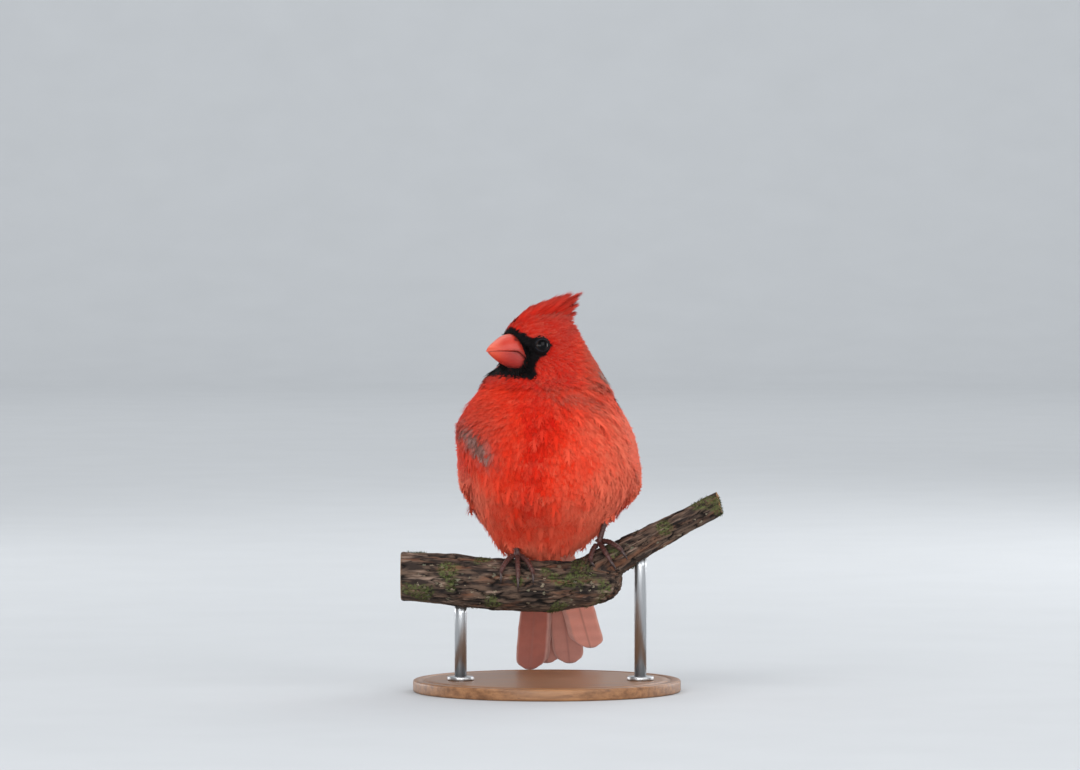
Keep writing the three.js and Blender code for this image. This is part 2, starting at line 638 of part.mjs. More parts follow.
function tailCoverts({ up, length }) {
  const { count, start, shorter, width, fan, rootFan, root } = TAIL_COVERTS;
  const feathers = [];
  const sign = Math.sign(up);
  for (let i = 0; i < count; i += 1) {
    const share = mix(-1, 1, i / (count - 1));
    feathers.push(tailFeather({
      up: up - sign * TAIL.level * (i % 2),
      root: start,
      length: length - shorter * Math.abs(share),
      width,
      place: share * fan,
      rootPlace: share * rootFan,
    }));
  }
  const middle = up - (sign * TAIL.level) / 2;
  const block = { ...root, low: middle - root.thick / 2, high: middle + root.thick / 2 };
  return join([tailBlock(block), ...feathers]);
}

// Legs
function footFrame(foot) {
  const along = vec(Math.cos(rad(foot.slope)), 0, Math.sin(rad(foot.slope)));
  const up = vec(-Math.sin(rad(foot.slope)), 0, Math.cos(rad(foot.slope)));
  return (shift, angle, reach) => vec(foot.x, 0, foot.z).addScaledVector(along, shift)
    .addScaledVector(up, reach * Math.cos(rad(angle))).add(vec(0, -reach * Math.sin(rad(angle)), 0));
}

// A round bar of changing radius through points.
function bar(points, radii, sides = 8) {
  const curve = new THREE.CatmullRomCurve3(points);
  const steps = radii.length - 1;
  const frames = curve.computeFrenetFrames(steps, false);
  return loft(radii.map((radius, i) => {
    const at = curve.getPointAt(i / steps);
    return Array.from({ length: sides }, (_, j) => {
      const turn = (2 * Math.PI * (j + 0.5)) / sides;
      return at.clone().addScaledVector(frames.normals[i], radius * Math.cos(turn))
        .addScaledVector(frames.binormals[i], radius * Math.sin(turn));
    });
  }));
}

function padShape(foot, centre, extra) {
  const [long, wide, high] = PAD.size.map((size) => size + extra);
  const pad = new THREE.SphereGeometry(1, 10, 6).scale(long, wide, high).rotateY(-rad(foot.slope));
  return solid(pad.translate(centre.x, centre.y, centre.z));
}

function toeShape(foot, toe, at, reach) {
  const span = (toe.end - toe.start) * foot.wrap[toe.name];
  const points = Array.from({ length: TOE.points }, (_, i) => {
    const t = i / (TOE.points - 1);
    return at(mix(toe.shiftStart, toe.shiftEnd, t ** 0.8), toe.start + span * t, reach);
  });
  return solid(bar(points, TOE.radii));
}

function clawShape(foot, toe, at, reach) {
  const span = (toe.end - toe.start) * foot.wrap[toe.name];
  const gapTurn = THREE.MathUtils.radToDeg(GAP / reach) * Math.sign(toe.end);
  const points = Array.from({ length: CLAW.points }, (_, i) => {
    const t = i / (CLAW.points - 1);
    const lift = CLAW.arch * Math.sin(Math.PI * t) - CLAW.droop * t;
    const angle = toe.start + span + gapTurn + toe.claw * foot.wrap[toe.name] * t;
    return at(toe.shiftEnd + CLAW.drift * t, angle, reach + lift);
  });
  return solid(bar(points, CLAW.radii, CLAW.sides));
}

function footNodes(foot) {
  const at = footFrame(foot);
  const reach = foot.radius + GAP + TOE.radius + TOE.clear;
  const padCentre = at(PAD.shift, PAD.angle, reach + PAD.lift);
  const top = vec(foot.topX, foot.y, foot.topZ + SHIN.into);
  const shin = solid(bar([padCentre, padCentre.clone().lerp(top, 0.5), top], SHIN.radii));
  const shank = cut(shin.add(padShape(foot, padCentre, 0)), [thighShape(foot, GAP)]);
  const nodes = [{ name: `tarsus_${foot.name}`, shape: shank }];
  for (const toe of TOES) {
    const shape = cut(toeShape(foot, toe, at, reach), [padShape(foot, padCentre, GAP)]);
    nodes.push({ name: `toe_${foot.name}_${toe.name}`, shape });
    nodes.push({ name: `claw_${foot.name}_${toe.name}`, shape: clawShape(foot, toe, at, reach) });
  }
  return nodes;
}

function thighShape(foot, extra) {
  const lean = foot.topX * THIGH.lean;
  const points = [
    vec(foot.topX, foot.y, foot.topZ - extra),
    vec(foot.topX - lean, foot.y + 1, foot.topZ + 5),
    vec(foot.topX - lean * 3, foot.y + 3, foot.topZ + 12),
  ];
  return solid(bar(points, THIGH.radii.map((r) => r + extra), THIGH.sides));
}

// Perch
function limbShape() {
  const centre = smooth(LIMB.map(([x, z]) => [x, z]));
  const radius = smooth(LIMB.map(([x, , r]) => [x, r]));
  const first = LIMB[0][0];
  const last = LIMB[LIMB.length - 1][0];
  const { steps, sides } = LIMB_RINGS;
  const rings = [];
  for (let i = 0; i <= steps; i += 1) {
    const x = mix(first, last, Math.sin((Math.PI * i) / (2 * steps)));
    rings.push(Array.from({ length: sides }, (_, j) => {
      const turn = (2 * Math.PI * j) / sides;
      return vec(x, radius(x) * Math.cos(turn), centre(x) + radius(x) * Math.sin(turn));
    }));
  }
  return solid(loft(rings));
}

function forkShape() {
  const centre = smooth(FORK);
  const radius = smooth(FORK_RADIUS);
  const { steps, sides } = FORK_RINGS;
  const rings = [];
  for (let i = 0; i <= steps; i += 1) {
    const x = mix(FORK[0][0], FORK[FORK.length - 1][0], i / steps);
    const slope = Math.atan(centre(x + 0.5) - centre(x - 0.5));
    rings.push(Array.from({ length: sides }, (_, j) => {
      const turn = (2 * Math.PI * j) / sides;
      const up = radius(x) * Math.sin(turn);
      return vec(x - up * Math.sin(slope), radius(x) * Math.cos(turn), centre(x) + up * Math.cos(slope));
    }));
  }
  return solid(loft(rings));
}

// Stand
function baseShape() {
  const { radius, height, edge } = BASE;
  const profile = [
    [0, 0], [radius - edge, 0], [radius, edge], [radius, height - edge], [radius - edge, height], [0, height],
  ];
  const geometry = new THREE.LatheGeometry(profile.map(([x, y]) => new THREE.Vector2(x, y)), BASE.sides);
  return geometry.rotateX(Math.PI / 2).translate(0, BASE.y, 0);
}

function rodShape(x, perch) {
  const rod = new THREE.CylinderGeometry(ROD.radius, ROD.radius, ROD.length, ROD.sides).rotateX(Math.PI / 2);
  const whole = solid(rod.translate(x, 0, BASE.height + GAP + ROD.length / 2));
  const clear = perch.translate([0, 0, -GAP]).add(perch);
  return whole.subtract(clear);
}

function lowest(shape) {
  const floorOf = (part) => part.boundingBox().min[2];
  return shape.decompose().reduce((best, part) => (floorOf(part) < floorOf(best) ? part : best));
}

// Assembly
const perch = limbShape().add(forkShape());
const bird = cut(bodyShape().add(headShape()), [billShape(true, GAP), billShape(false, GAP)]);
const eyes = { left: eyeParts(1), right: eyeParts(-1) };
const aboveHeadCut = aboveNeck(NECK_CUT, 0);
const belowHeadCut = aboveNeck(NECK_CUT, -GAP);
const aboveTorsoCut = aboveNeck(TORSO_CUT, 0);
const belowTorsoCut = aboveNeck(TORSO_CUT, -GAP);
const wings = { left: wingNodes(1), right: wingNodes(-1) };
const legs = FEET.map((foot) => ({ foot, thigh: thighShape(foot, 0), room: thighShape(foot, GAP) }));
const tailPocket = tailBlock(TAIL_POCKET);

const head = cut(
  join([bird.intersect(aboveHeadCut), solid(eyes.left.lids), solid(eyes.right.lids), ...crest()]),
  [solid(eyes.left.ball(GAP)), solid(eyes.right.ball(GAP)), billShape(true, GAP), billShape(false, GAP)]);
const neck = bird.intersect(aboveTorsoCut).subtract(belowHeadCut);
const torso = cut(bird.subtract(belowTorsoCut), [
  ...wingBeds(1), ...wingBeds(-1), tailPocket, ...legs.map((leg) => leg.room),
]);

add('head', geometryOf(head), COLOURS.red);
add('neck', geometryOf(neck), COLOURS.red);
add('torso', geometryOf(torso), COLOURS.red);
for (const [name, eye] of Object.entries(eyes)) {
  add(`eye_${name}`, joinedPoints(eye.ball(0)), COLOURS.eye, 0.1);
}
add('bill_upper', geometryOf(cut(billShape(true, 0), [nostril(1), nostril(-1)])), COLOURS.coral, 0.4);
add('bill_lower', geometryOf(billShape(false, 0)), COLOURS.coral, 0.4);
for (const [name, wing] of Object.entries(wings)) {
  add(`wing_${name}_coverts`, geometryOf(wing.coverts), COLOURS.darkRed);
  add(`wing_${name}_secondaries`, geometryOf(wing.secondaries), COLOURS.dullRed);
  add(`wing_${name}_primaries`, geometryOf(wing.primaries), COLOURS.dullRed);
}
add('tail', geometryOf(tailShape()), COLOURS.dullRed);
add('tail_coverts_upper', geometryOf(tailCoverts(TAIL_COVERTS.upper)), COLOURS.darkRed);
add('tail_coverts_under', geometryOf(tailCoverts(TAIL_COVERTS.under)), COLOURS.darkRed);
for (const { foot, thigh } of legs) {
  add(`thigh_${foot.name}`, geometryOf(thigh), COLOURS.red);
  for (const { name, shape } of footNodes(foot)) add(name, geometryOf(shape), COLOURS.horn, 0.5);
}
add('perch', geometryOf(perch), COLOURS.bark, 0.9);
add('stand_base', baseShape(), COLOURS.wood, 0.5);
add('stand_rod_left', geometryOf(lowest(rodShape(ROD.left, perch))), COLOURS.steel, 0.3, 1);
add('stand_rod_right', geometryOf(lowest(rodShape(ROD.right, perch))), COLOURS.steel, 0.3, 1);

export default group;
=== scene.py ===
# Looks for the life-size model of a male northern cardinal on its perch and display stand.
# Shapes are worked out in millimetres in the part's own frame and turned into metres where a mesh is made.
from itertools import product
from math import cos, dist, pi, radians, sin

import bpy
import numpy as np
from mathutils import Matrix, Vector, noise
from mathutils.bvhtree import BVHTree


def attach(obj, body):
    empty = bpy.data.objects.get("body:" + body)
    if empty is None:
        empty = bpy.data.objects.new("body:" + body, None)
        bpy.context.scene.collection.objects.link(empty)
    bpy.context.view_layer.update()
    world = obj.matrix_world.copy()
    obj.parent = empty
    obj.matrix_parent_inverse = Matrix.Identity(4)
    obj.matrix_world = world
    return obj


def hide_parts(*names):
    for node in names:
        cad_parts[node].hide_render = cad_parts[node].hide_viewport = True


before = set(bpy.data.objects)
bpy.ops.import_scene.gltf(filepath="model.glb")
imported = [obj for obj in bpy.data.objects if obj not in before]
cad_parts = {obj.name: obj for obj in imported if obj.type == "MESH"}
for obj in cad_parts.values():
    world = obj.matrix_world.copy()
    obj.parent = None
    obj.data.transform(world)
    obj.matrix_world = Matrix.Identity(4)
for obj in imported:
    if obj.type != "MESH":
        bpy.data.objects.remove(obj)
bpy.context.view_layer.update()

MM = 0.001
TRIANGLES_PER_PIECE = 190000
random = np.random.default_rng(11)

# Forms of the part: body outline by height, head outline by distance forward, bill, wings and tail.
BODY = {"bottom": 58.7, "top": 158, "squareness": 2.1}
SIDE_RIGHT = [
    (58.7, -7), (59.6, -12.5), (61.2, -17.5), (66.6, -24), (74, -30), (84.5, -34.8), (95, -37.4),
    (105, -39.1), (111, -39), (116, -37.2), (124, -31.6), (128.3, -28), (133.3, -25.5), (137.4, -20.5),
    (143, -13), (150, -6.5), (156, -1), (158, 2),
]
SIDE_LEFT = [
    (58.7, -3), (59.6, 3.5), (61.2, 9.5), (66.6, 20.5), (74, 29.5), (80.3, 34.6), (88.7, 38.8),
    (94, 39.6), (101.2, 38), (108.7, 35.6), (122, 29.6), (133.7, 23.3), (139.9, 19.6), (147.8, 14.8),
    (153, 11.3), (158, 5.5),
]
FRONT = [
    (58.7, 9), (59.6, 5), (61.2, 1.5), (64, -4), (66.6, -11), (70, -20), (74, -29), (84.5, -39.8),
    (95, -42.5), (105, -41.5), (115, -37.2), (122, -31.5), (128, -24.5), (133, -18.5), (138, -13),
    (145, -7), (152, -1), (158, 6),
]
BACK = [
    (58.7, 15), (59.6, 19), (61.2, 23.5), (66.6, 34), (70, 38.5), (74, 42), (80, 44.5), (88, 44.2),
    (95, 42.8), (105, 39.5), (115, 35), (122, 31), (133, 24.8), (147, 18), (153, 14.5), (158, 9.5),
]
HEAD = {"place": (-9.4, -7, 145), "turn": 48, "squareness": 2.15}
HEAD_HALF_WIDTH = [
    (-24.5, 0.8), (-22.5, 6), (-18, 9.6), (-12, 11.5), (-6, 11.9), (-1, 11.1), (3, 9.6), (6, 8), (8, 6.2),
    (9.3, 3.8), (9.9, 0.8),
]
HEAD_TOP = [
    (-24.5, 2), (-22.5, 7), (-18, 10.3), (-12, 12), (-6, 12.5), (0, 12.3), (4, 11.6), (7, 10.1),
    (8.8, 7.6), (9.6, 4.8), (9.9, 1.5),
]
HEAD_BOTTOM = [
    (-24.5, 0), (-22.5, -5), (-18, -10), (-12, -13), (-6, -14.5), (0, -14.5), (4, -13.5), (7, -11.5),
    (9, -8), (9.9, -2),
]
EYE = {"radius": 4.7, "aperture": 3.1, "forward": -1.3, "out": 7.1, "up": 0.1, "ahead": 17, "raise": 0.06}
# Half width and half height of the opening between the lids and of their outer edge.
LID = {"opening": (3.0, 2.3), "outer": (4.2, 4.0)}
# Edges of the black mask: the upper by distance forward, the rear by height, the lower by distance aside.
MASK_EDGES = {
    "upper": ([-5, -2.9, -0.8, 2, 4, 5, 6.3, 6.8, 7.4], [0.6, 2.4, 3.5, 3.2, 3.5, 4.6, 5.3, 6.3, 7.2]),
    "rear": ([-13, -9.5, -6.5, -3.9, -1.8, 0.4, 2.9], [0.9, 1.5, 0.9, -0.8, -2.8, -5.2, -4.6]),
    "lower": ([-24, -14, -5], [-11.4, -10.9, -12]),
}
BILL = {"back": 3.9, "tip": 21, "lower_tip": 19.9, "gap": 0.25}
# By distance forward: height of the ridge, of the line of the mouth and of the keel, and half width.
BILL_RIDGE = [(3.9, 4.9), (8.5, 5.0), (12.8, 3.9), (15.8, 2.3), (18.4, 0.8), (20, -0.4), (21, -1.7)]
BILL_MOUTH = [(3.9, -6.2), (5.6, -4.3), (8.4, -2.3), (12.5, -1.9), (17, -1.9), (21, -2.2)]
BILL_KEEL = [(3.9, -9.8), (5, -9.7), (8, -8.9), (12.3, -7.4), (15.7, -5.7), (18.5, -3.9), (19.9, -2.8)]
BILL_HALF_WIDTH = [
    (3.9, 6.7), (5, 6.6), (8.5, 5.8), (12.3, 4.6), (15, 3.4), (18, 2.1), (20, 1.0), (21, 0.4),
]
# Crest rows, front to back: forward and up of root, forward and up of tip, half spread at root and tip.
CREST_ROWS = [
    (7.2, 8.6, -5, 16.6, 2.2, 1.2), (4, 10.4, -13, 18.9, 3.4, 1.8), (0.4, 11.4, -21, 20.8, 4.0, 1.2),
    (-3, 11, -27, 21.7, 4.4, 1.7), (-6.5, 11.2, -33, 21.4, 4.6, 0.8), (-9.5, 9.6, -31, 17.4, 4.8, 2),
    (-13.5, 8.6, -29.5, 13.2, 4.2, 1.6),
]
CREST_MARKS = {"black": 0.0, "deep": 0.85, "dull": 0.22}
# Folded wings lie on a carrier whose radius changes along its length. The bed is the range of angles, by
# length, that the flight feathers cover.
WING = {"place": (0, -1, 96), "dip": 30, "shoulder": -9, "shield_end": 10}
WING_RADIUS = [
    (-14, 35.5), (-4, 37.3), (5, 37.4), (14, 35.3), (24, 31), (34, 25.8), (44, 20.8), (54, 16.4),
    (64, 12.8), (76, 10.5),
]
BED_LOW = [(4.2, 36), (14, 31), (22, 25.5), (31, 16.5), (43, 16.5), (50, 21), (76, 28)]
BED_HIGH = [(4.2, 108), (14, 109.5), (31, 113), (48, 119), (62, 126), (76, 131)]
# Flight feathers: angle of the row at its roots, and at its ends for the arm and the hand. The tips are
# places along the carrier, by share of the whole row.
FLIGHT = {
    "root_angle": (50, 104), "start": 10, "end": 68, "out": -1.3, "slope": 0.42,
    "arm": {"first_share": 0.0, "root": 5.5, "end_angle": (20, 62),
            "tips": [(0, 31), (0.12, 38), (0.24, 43), (0.32, 46), (0.42, 48), (0.5, 49.5)]},
    "hand": {"first_share": 0.5, "root": 10.2, "end_angle": (74, 124),
             "tips": [(0.5, 54.5), (0.6, 60), (0.7, 65), (0.8, 68), (0.9, 67), (1, 62)]},
}
# Rows of coverts: first and last angle, root and tip along the carrier, height, width and number of feathers.
COVERT_ROWS = [
    (54, 104.5, 6, 25.5, 1.15, 6.6, 11), (51, 103.5, -1, 14, 1.9, 5.4, 12), (50, 102, -3.6, 6, 2.2, 5, 13),
]
TAIL = {"place": (0.6, 37.5, 69), "dip": 48, "length": 86.5, "drift": 4.6, "fan": 12.3, "root_fan": 2.6,
        "width": 13, "top": 2.4, "level": 0.62, "left_shorter": 12, "left_wider": 2}
# Feathers of one side from the middle outward: place in the fan, and how much shorter than the longest.
TAIL_SPREAD = [(0.12, 1.6), (0.25, 1.2), (0.4, 1.0), (0.88, 0.6), (0.94, 0.3), (1.0, 0.0)]
# Perch: place along X, height of the middle, radius. The fork has its radius in a list of its own.
LIMB = [
    (-61, 48.6, 10.2), (-46, 47.6, 10.6), (-29, 45.8, 10.8), (-13, 44.8, 10.8), (2, 44.2, 10.6),
    (14, 45, 9.8), (22, 45.8, 8.9), (26, 46.2, 7.9), (29, 46.4, 6.1), (30.8, 46.5, 3.9),
    (31.4, 46.5, 2.4),
]
FORK = [(4, 45), (14, 48.4), (26, 54.5), (38, 61), (54, 69.6), (72, 79.2)]
FORK_RADIUS = [(4, 7.6), (14, 7.4), (26, 7), (38, 6.2), (54, 5.3), (72, 4.8)]
FORK_SLOPE = 29
FEET = {
    "right": {"place": (-13, 44.8), "radius": 10.8, "slope": -2, "y": -3.2, "top": (-13.4, 62.8),
              "wrap": {"inner": 1, "middle": 1, "outer": 1, "hind": 1}},
    "left": {"place": (26, 54.5), "radius": 7.4, "slope": 28.6, "y": -2.4, "top": (25, 70.2),
             "wrap": {"inner": 0.95, "middle": 1.2, "outer": 1.3, "hind": 1.15}},
}
# Toes: angle from the top of the branch at start and end, shift along it at start and end, turn of the claw.
TOES = {
    "inner": (14, 60, -1.9, -6.4, 26), "middle": (14, 72, 0.2, 0.8, 28), "outer": (14, 60, 2.3, 7, 26),
    "hind": (-14, -58, 0.4, 0.6, -34),
}
TOE_RADIUS = 1.0
BASE = {"radius": 56, "height": 5, "edge": 1, "y": 6,
        "groove": [(3.4, 0), (3.7, 0.45), (4.3, 0.6), (4.9, 0.45), (5.2, 0)]}
# Rods: place along X and height of the top.
ROD = {"radius": 2.5, "right": (-36, 36.1), "left": (39, 55.7)}

# Depth of the coat over the skin, and the spacing of its feathers.
COAT = {"body": 2.1, "head": 1.3}
SPACING = {"body": 1.03, "head": 0.72, "mask": 0.56}
# A point this far under the skin, or farther, belongs to a feather that is sunk on purpose.
FARTHEST_SUNK = 2.6
NEXT_CELLS = list(product((-1, 0, 1), repeat=3))
SIDES = (("left", 1), ("right", -1))

# A feather's core: places along the shaft, and its half width there as a share of the feather's.
FEATHER_CORE = [(0.0, 0.18), (0.4, 0.34), (0.75, 0.22), (1.0, 0.0)]
BAKE_PATCH = np.array([0.0015, 0.003])
VANE_ACROSS = np.array([-1, -0.78, -0.52, -0.26, -0.07, 0, 0.07, 0.26, 0.52, 0.78, 1])
MOSS_LEAVES = 5
# A flake of lichen, from its foot to its middle: share of its radius, and height.
FLAKE_PROFILE = ((1.0, 0.05), (1.0, 0.26), (0.72, 0.2), (0.3, 0.3))

CAMERA = {"aim": (-2.9, 0, 128.3), "distance": 3000, "elevation": 2.0, "frame_width": 450, "sensor": 36}


# Numbers and directions
def unit(v):
    return v / np.maximum(np.linalg.norm(v, axis=-1, keepdims=True), 1e-9)


def mix(a, b, t):
    return a + (b - a) * t


def between(low, high, swing):
    """From low at a swing of -1 to high at a swing of 1."""
    return (low + high) / 2 + (high - low) / 2 * swing


def step(low, high, x):
    t = np.clip((x - low) / (high - low), 0, 1)
    return t * t * (3 - 2 * t)


def clamp(x, high=1):
    return np.clip(x, 0, high)


def spot(*offsets_and_sizes):
    """1 in the middle of a soft round spot and 0 far from it."""
    return np.exp(-sum((offset / size) ** 2 for offset, size in offsets_and_sizes))


def circle(count):
    return np.linspace(0, 2 * pi, count, endpoint=False)


def around(turns, first, second):
    """Directions that turn from the first toward the second."""
    return np.cos(turns)[..., None] * first + np.sin(turns)[..., None] * second


def on_surface(way, normal):
    return unit(way - normal * np.sum(way * normal, 1, keepdims=True))


def columns(*values):
    """The values in one shape, ready to multiply directions."""
    return [v[..., None] for v in np.broadcast_arrays(*values)]


def smooth(points):
    x, y = np.array(points, float).T
    places = np.arange(len(x))
    before, after = np.maximum(places - 1, 0), np.minimum(places + 1, len(x) - 1)
    slope = (y[after] - y[before]) / (x[after] - x[before])

    def at(value):
        value = np.asarray(value, float)
        i = np.clip(np.searchsorted(x, value) - 1, 0, len(x) - 2)
        width = x[i + 1] - x[i]
        t = np.clip((value - x[i]) / width, 0, 1)
        curve = 2 * t**3 - 3 * t**2
        bend = (t**3 - 2 * t**2 + t) * slope[i] * width + (t**3 - t**2) * slope[i + 1] * width
        return y[i] * (1 + curve) - y[i + 1] * curve + bend

    return at


def round_power(value, power):
    return np.sign(value) * np.abs(value) ** power


def ease(count, low, high):
    return mix(low, high, (1 - np.cos(np.linspace(0, pi, count))) / 2)


def noise_at(points, size, seed=0.0):
    shift = Vector((seed * 7.1, seed * 3.7, seed * 5.3))
    return np.array([noise.noise(Vector(p) / size + shift) for p in np.asarray(points)])


# Meshes
def loft(rings):
    """A closed solid through rings, with a fan of triangles at both ends."""
    count, sides = rings.shape[:2]
    i, j = np.meshgrid(np.arange(count - 1), np.arange(sides), indexing="ij")
    a, b = (i * sides + j).ravel(), (i * sides + (j + 1) % sides).ravel()
    first, last = count * sides, (count - 1) * sides
    j = np.arange(sides)
    k = (j + 1) % sides
    start = np.stack([np.full(sides, first), k, j], 1)
    end = np.stack([np.full(sides, first + 1), last + j, last + k], 1)
    points = np.vstack([rings.reshape(-1, 3), rings[0].mean(0), rings[-1].mean(0)])
    return points, [np.stack([a, b, b + sides, a + sides], 1), np.vstack([start, end])]


def ring_loop(rings):
    """Closed rings joined one to the next and the last to the first."""
    count, sides = rings.shape[:2]
    i, j = np.meshgrid(np.arange(count), np.arange(sides), indexing="ij")
    corners = [(i, j), (i + 1, j), (i + 1, j + 1), (i, j + 1)]
    return rings.reshape(-1, 3), [np.stack([(p % count * sides + q % sides).ravel() for p, q in corners], 1)]


def capped(values, first=0.0, last=0.0):
    """Values on the rings of a loft, then on the middles of its two ends."""
    return np.append(np.ravel(values), [first, last])


def joined(parts):
    points, groups, start = [], {}, 0
    for part_points, part_faces in parts:
        points.append(part_points)
        for faces in part_faces:
            groups.setdefault(faces.shape[1], []).append(faces + start)
        start += len(part_points)
    return np.vstack(points), [np.vstack(faces) for faces in groups.values()]


def mesh_of(name, points, faces):
    mesh = bpy.data.meshes.new(name)
    mesh.vertices.add(len(points))
    mesh.vertices.foreach_set("co", (np.asarray(points) * MM).astype(np.float32).ravel())
    loops = np.concatenate([group.ravel() for group in faces])
    sizes = np.concatenate([np.full(len(group), group.shape[1]) for group in faces])
    mesh.loops.add(len(loops))
    mesh.loops.foreach_set("vertex_index", loops.astype(np.int32))
    mesh.polygons.add(len(sizes))
    mesh.polygons.foreach_set("loop_start", np.concatenate([[0], np.cumsum(sizes)[:-1]]).astype(np.int32))
    mesh.polygons.foreach_set("use_smooth", np.ones(len(sizes), bool))
    mesh.update(calc_edges=True)
    return mesh


def put_in_scene(name, data):
    thing = bpy.data.objects.new(name, data)
    bpy.context.scene.collection.objects.link(thing)
    return thing


def piece(name, points, faces, material, slot, marks=None, uv=None, normals=None, replaces=()):
    mesh = mesh_of(name, points, faces)
    for mark, values in (marks or {}).items():
        kind, key = ("FLOAT", "value") if values.ndim == 1 else ("FLOAT_VECTOR", "vector")
        mesh.attributes.new(mark, kind, "POINT").data.foreach_set(key, values.astype(np.float32).ravel())
    if uv is not None:
        corners = uv[np.concatenate([group.ravel() for group in faces])]
        mesh.uv_layers.new(name="OFBake").data.foreach_set("uv", corners.astype(np.float32).ravel())
    if normals is not None:
        mesh.normals_split_custom_set_from_vertices(normals.astype(np.float32))
    mesh.materials.append(material)
    thing = put_in_scene(name, mesh)
    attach(thing, "root")
    if replaces:
        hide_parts(*replaces)


# Materials
def paint(*colour):
    """Red, green and blue from 0 to 255 as the linear colour of a node."""
    return tuple(c / 12.92 if c <= 0.04045 else ((c + 0.055) / 1.055) ** 2.4
                 for c in (value / 255 for value in colour)) + (1.0,)


class Graph:
    """The node graph of one material. A colour is a socket, or red, green and blue from 0 to 255."""

    def __init__(self, name, roughness, **constants):
        self.material = bpy.data.materials.new(name)
        self.material.use_nodes = True
        self.tree = self.material.node_tree
        self.shader = self.tree.nodes["Principled BSDF"]
        self.shader.inputs["Roughness"].default_value = roughness
        for socket, value in constants.items():
            self.shader.inputs[socket.replace("_", " ")].default_value = value

    def node(self, kind, inputs=(), **settings):
        made = self.tree.nodes.new(kind)
        for key, value in settings.items():
            setattr(made, key, value)
        for key, value in dict(inputs).items():
            if isinstance(value, bpy.types.NodeSocket):
                self.tree.links.new(value, made.inputs[key])
            else:
                made.inputs[key].default_value = value
        return made

    def mark(self, name, output="Fac"):
        return self.node("ShaderNodeAttribute", attribute_name=name).outputs[output]

    def place(self):
        return self.node("ShaderNodeTexCoord").outputs["Object"]

    def stretched(self, scale, vector=None, turn=0.0):
        inputs = {"Vector": vector or self.place(), "Scale": scale, "Rotation": (0, 0, radians(turn))}
        return self.node("ShaderNodeMapping", inputs).outputs[0]

    def noise(self, size_mm, detail=3, vector=None, roughness=0.55):
        inputs = {"Scale": 1 / (size_mm * MM), "Detail": detail, "Roughness": roughness,
                  "Vector": vector or self.place()}
        return self.node("ShaderNodeTexNoise", inputs).outputs["Fac"]

    def ramp(self, value, low, high, start=0.0, end=1.0):
        inputs = {"Value": value, "From Min": low, "From Max": high, "To Min": start, "To Max": end}
        return self.node("ShaderNodeMapRange", inputs).outputs["Result"]

    def math(self, operation, a, b=0.0):
        return self.node("ShaderNodeMath", {0: a, 1: b}, operation=operation).outputs[0]

    def waves(self, value, length):
        return self.math("SINE", self.math("MULTIPLY", value, 2 * pi / length))

    def mix(self, a, b, factor, blend="MIX"):
        a, b = (paint(*colour) if isinstance(colour, tuple) else colour for colour in (a, b))
        inputs = {0: factor, 6: a, 7: b}  # the sockets for colours are known by number
        return self.node("ShaderNodeMix", inputs, data_type="RGBA", blend_type=blend).outputs[2]

    def mottled(self, a, b, size_mm, detail=3):
        return self.mix(a, b, self.noise(size_mm, detail))

    def over(self, base, *layers):
        """Colours laid one over the other, each with the share it covers."""
        for colour, share in layers:
            base = self.mix(base, colour, share)
        return base

    def toned(self, colour, low, high):
        """Each feather a little darker or lighter than the next."""
        shade = self.ramp(self.mark("tone"), 0, 1, low, high)
        return self.node("ShaderNodeHueSaturation", {"Color": colour, "Value": shade}).outputs[0]

    def finished(self, colour, height=None, depth_mm=0.05, strength=0.5, rough=None):
        self.tree.links.new(colour, self.shader.inputs["Base Color"])
        if rough:
            self.tree.links.new(rough, self.shader.inputs["Roughness"])
        if height:
            inputs = {"Height": height, "Distance": depth_mm * MM, "Strength": strength}
            relief = self.node("ShaderNodeBump", inputs).outputs[0]
            self.tree.links.new(relief, self.shader.inputs["Normal"])
        return self.material


def plumage_material():
    g = Graph("plumage", 0.8, Specular_IOR_Level=0.08, Sheen_Weight=0.02, Sheen_Roughness=0.5)
    tone, along, dull = g.mark("tone"), g.mark("along"), g.mark("dull")
    red = g.over(
        g.mottled((216, 40, 16), (220, 56, 28), 9, 2),
        ((190, 19, 7), g.mark("deep")),
        # Pale is partly paler feathers and partly painted light low on the body and along the flanks.
        ((222, 104, 78), g.mark("pale")),
        # Dull is the duller brownish red of the back, crown, nape and scapulars, and also painted shadow
        # under the cheek.
        ((158, 52, 36), dull),
        ((140, 112, 96), g.math("MULTIPLY", dull, g.ramp(along, 0.55, 1.0, 0.0, 0.75))),
        (g.mix((102, 74, 66), (144, 114, 106), tone), g.mark("grey")),
    )
    root_shade = g.mix((196, 190, 190), (255, 255, 255), g.ramp(along, 0.0, 0.5))
    red = g.toned(g.mix(red, root_shade, 1.0, "MULTIPLY"), 0.94, 1.06)
    return g.finished(g.mix(red, g.mix((7, 6, 7), (20, 17, 18), tone), g.mark("black")))


def vane_material():
    g = Graph("vanes", 0.62, Specular_IOR_Level=0.3, Sheen_Weight=0.1)
    across, barbs = g.mark("across"), g.waves(g.mark("barb"), 0.55)
    from_shaft = g.math("ABSOLUTE", across)
    outer, inner = g.mottled((176, 56, 44), (158, 68, 58), 5), g.mottled((112, 64, 58), (120, 84, 78), 3)
    red = g.over(
        g.mix(outer, inner, g.ramp(across, -0.55, 0.25)),
        ((146, 118, 106), g.ramp(from_shaft, 0.8, 1.0, 0, 0.7)),
        ((120, 100, 92), g.ramp(g.mark("along"), 0.86, 1.0, 0, 0.55)),
        ((58, 34, 34), g.ramp(from_shaft, 0.05, 0.085, 1, 0)),
        ((60, 36, 34), g.ramp(barbs, -1, 1, 0.16, 0)),
    )
    return g.finished(g.toned(red, 0.88, 1.14), barbs, 0.08, 0.6)


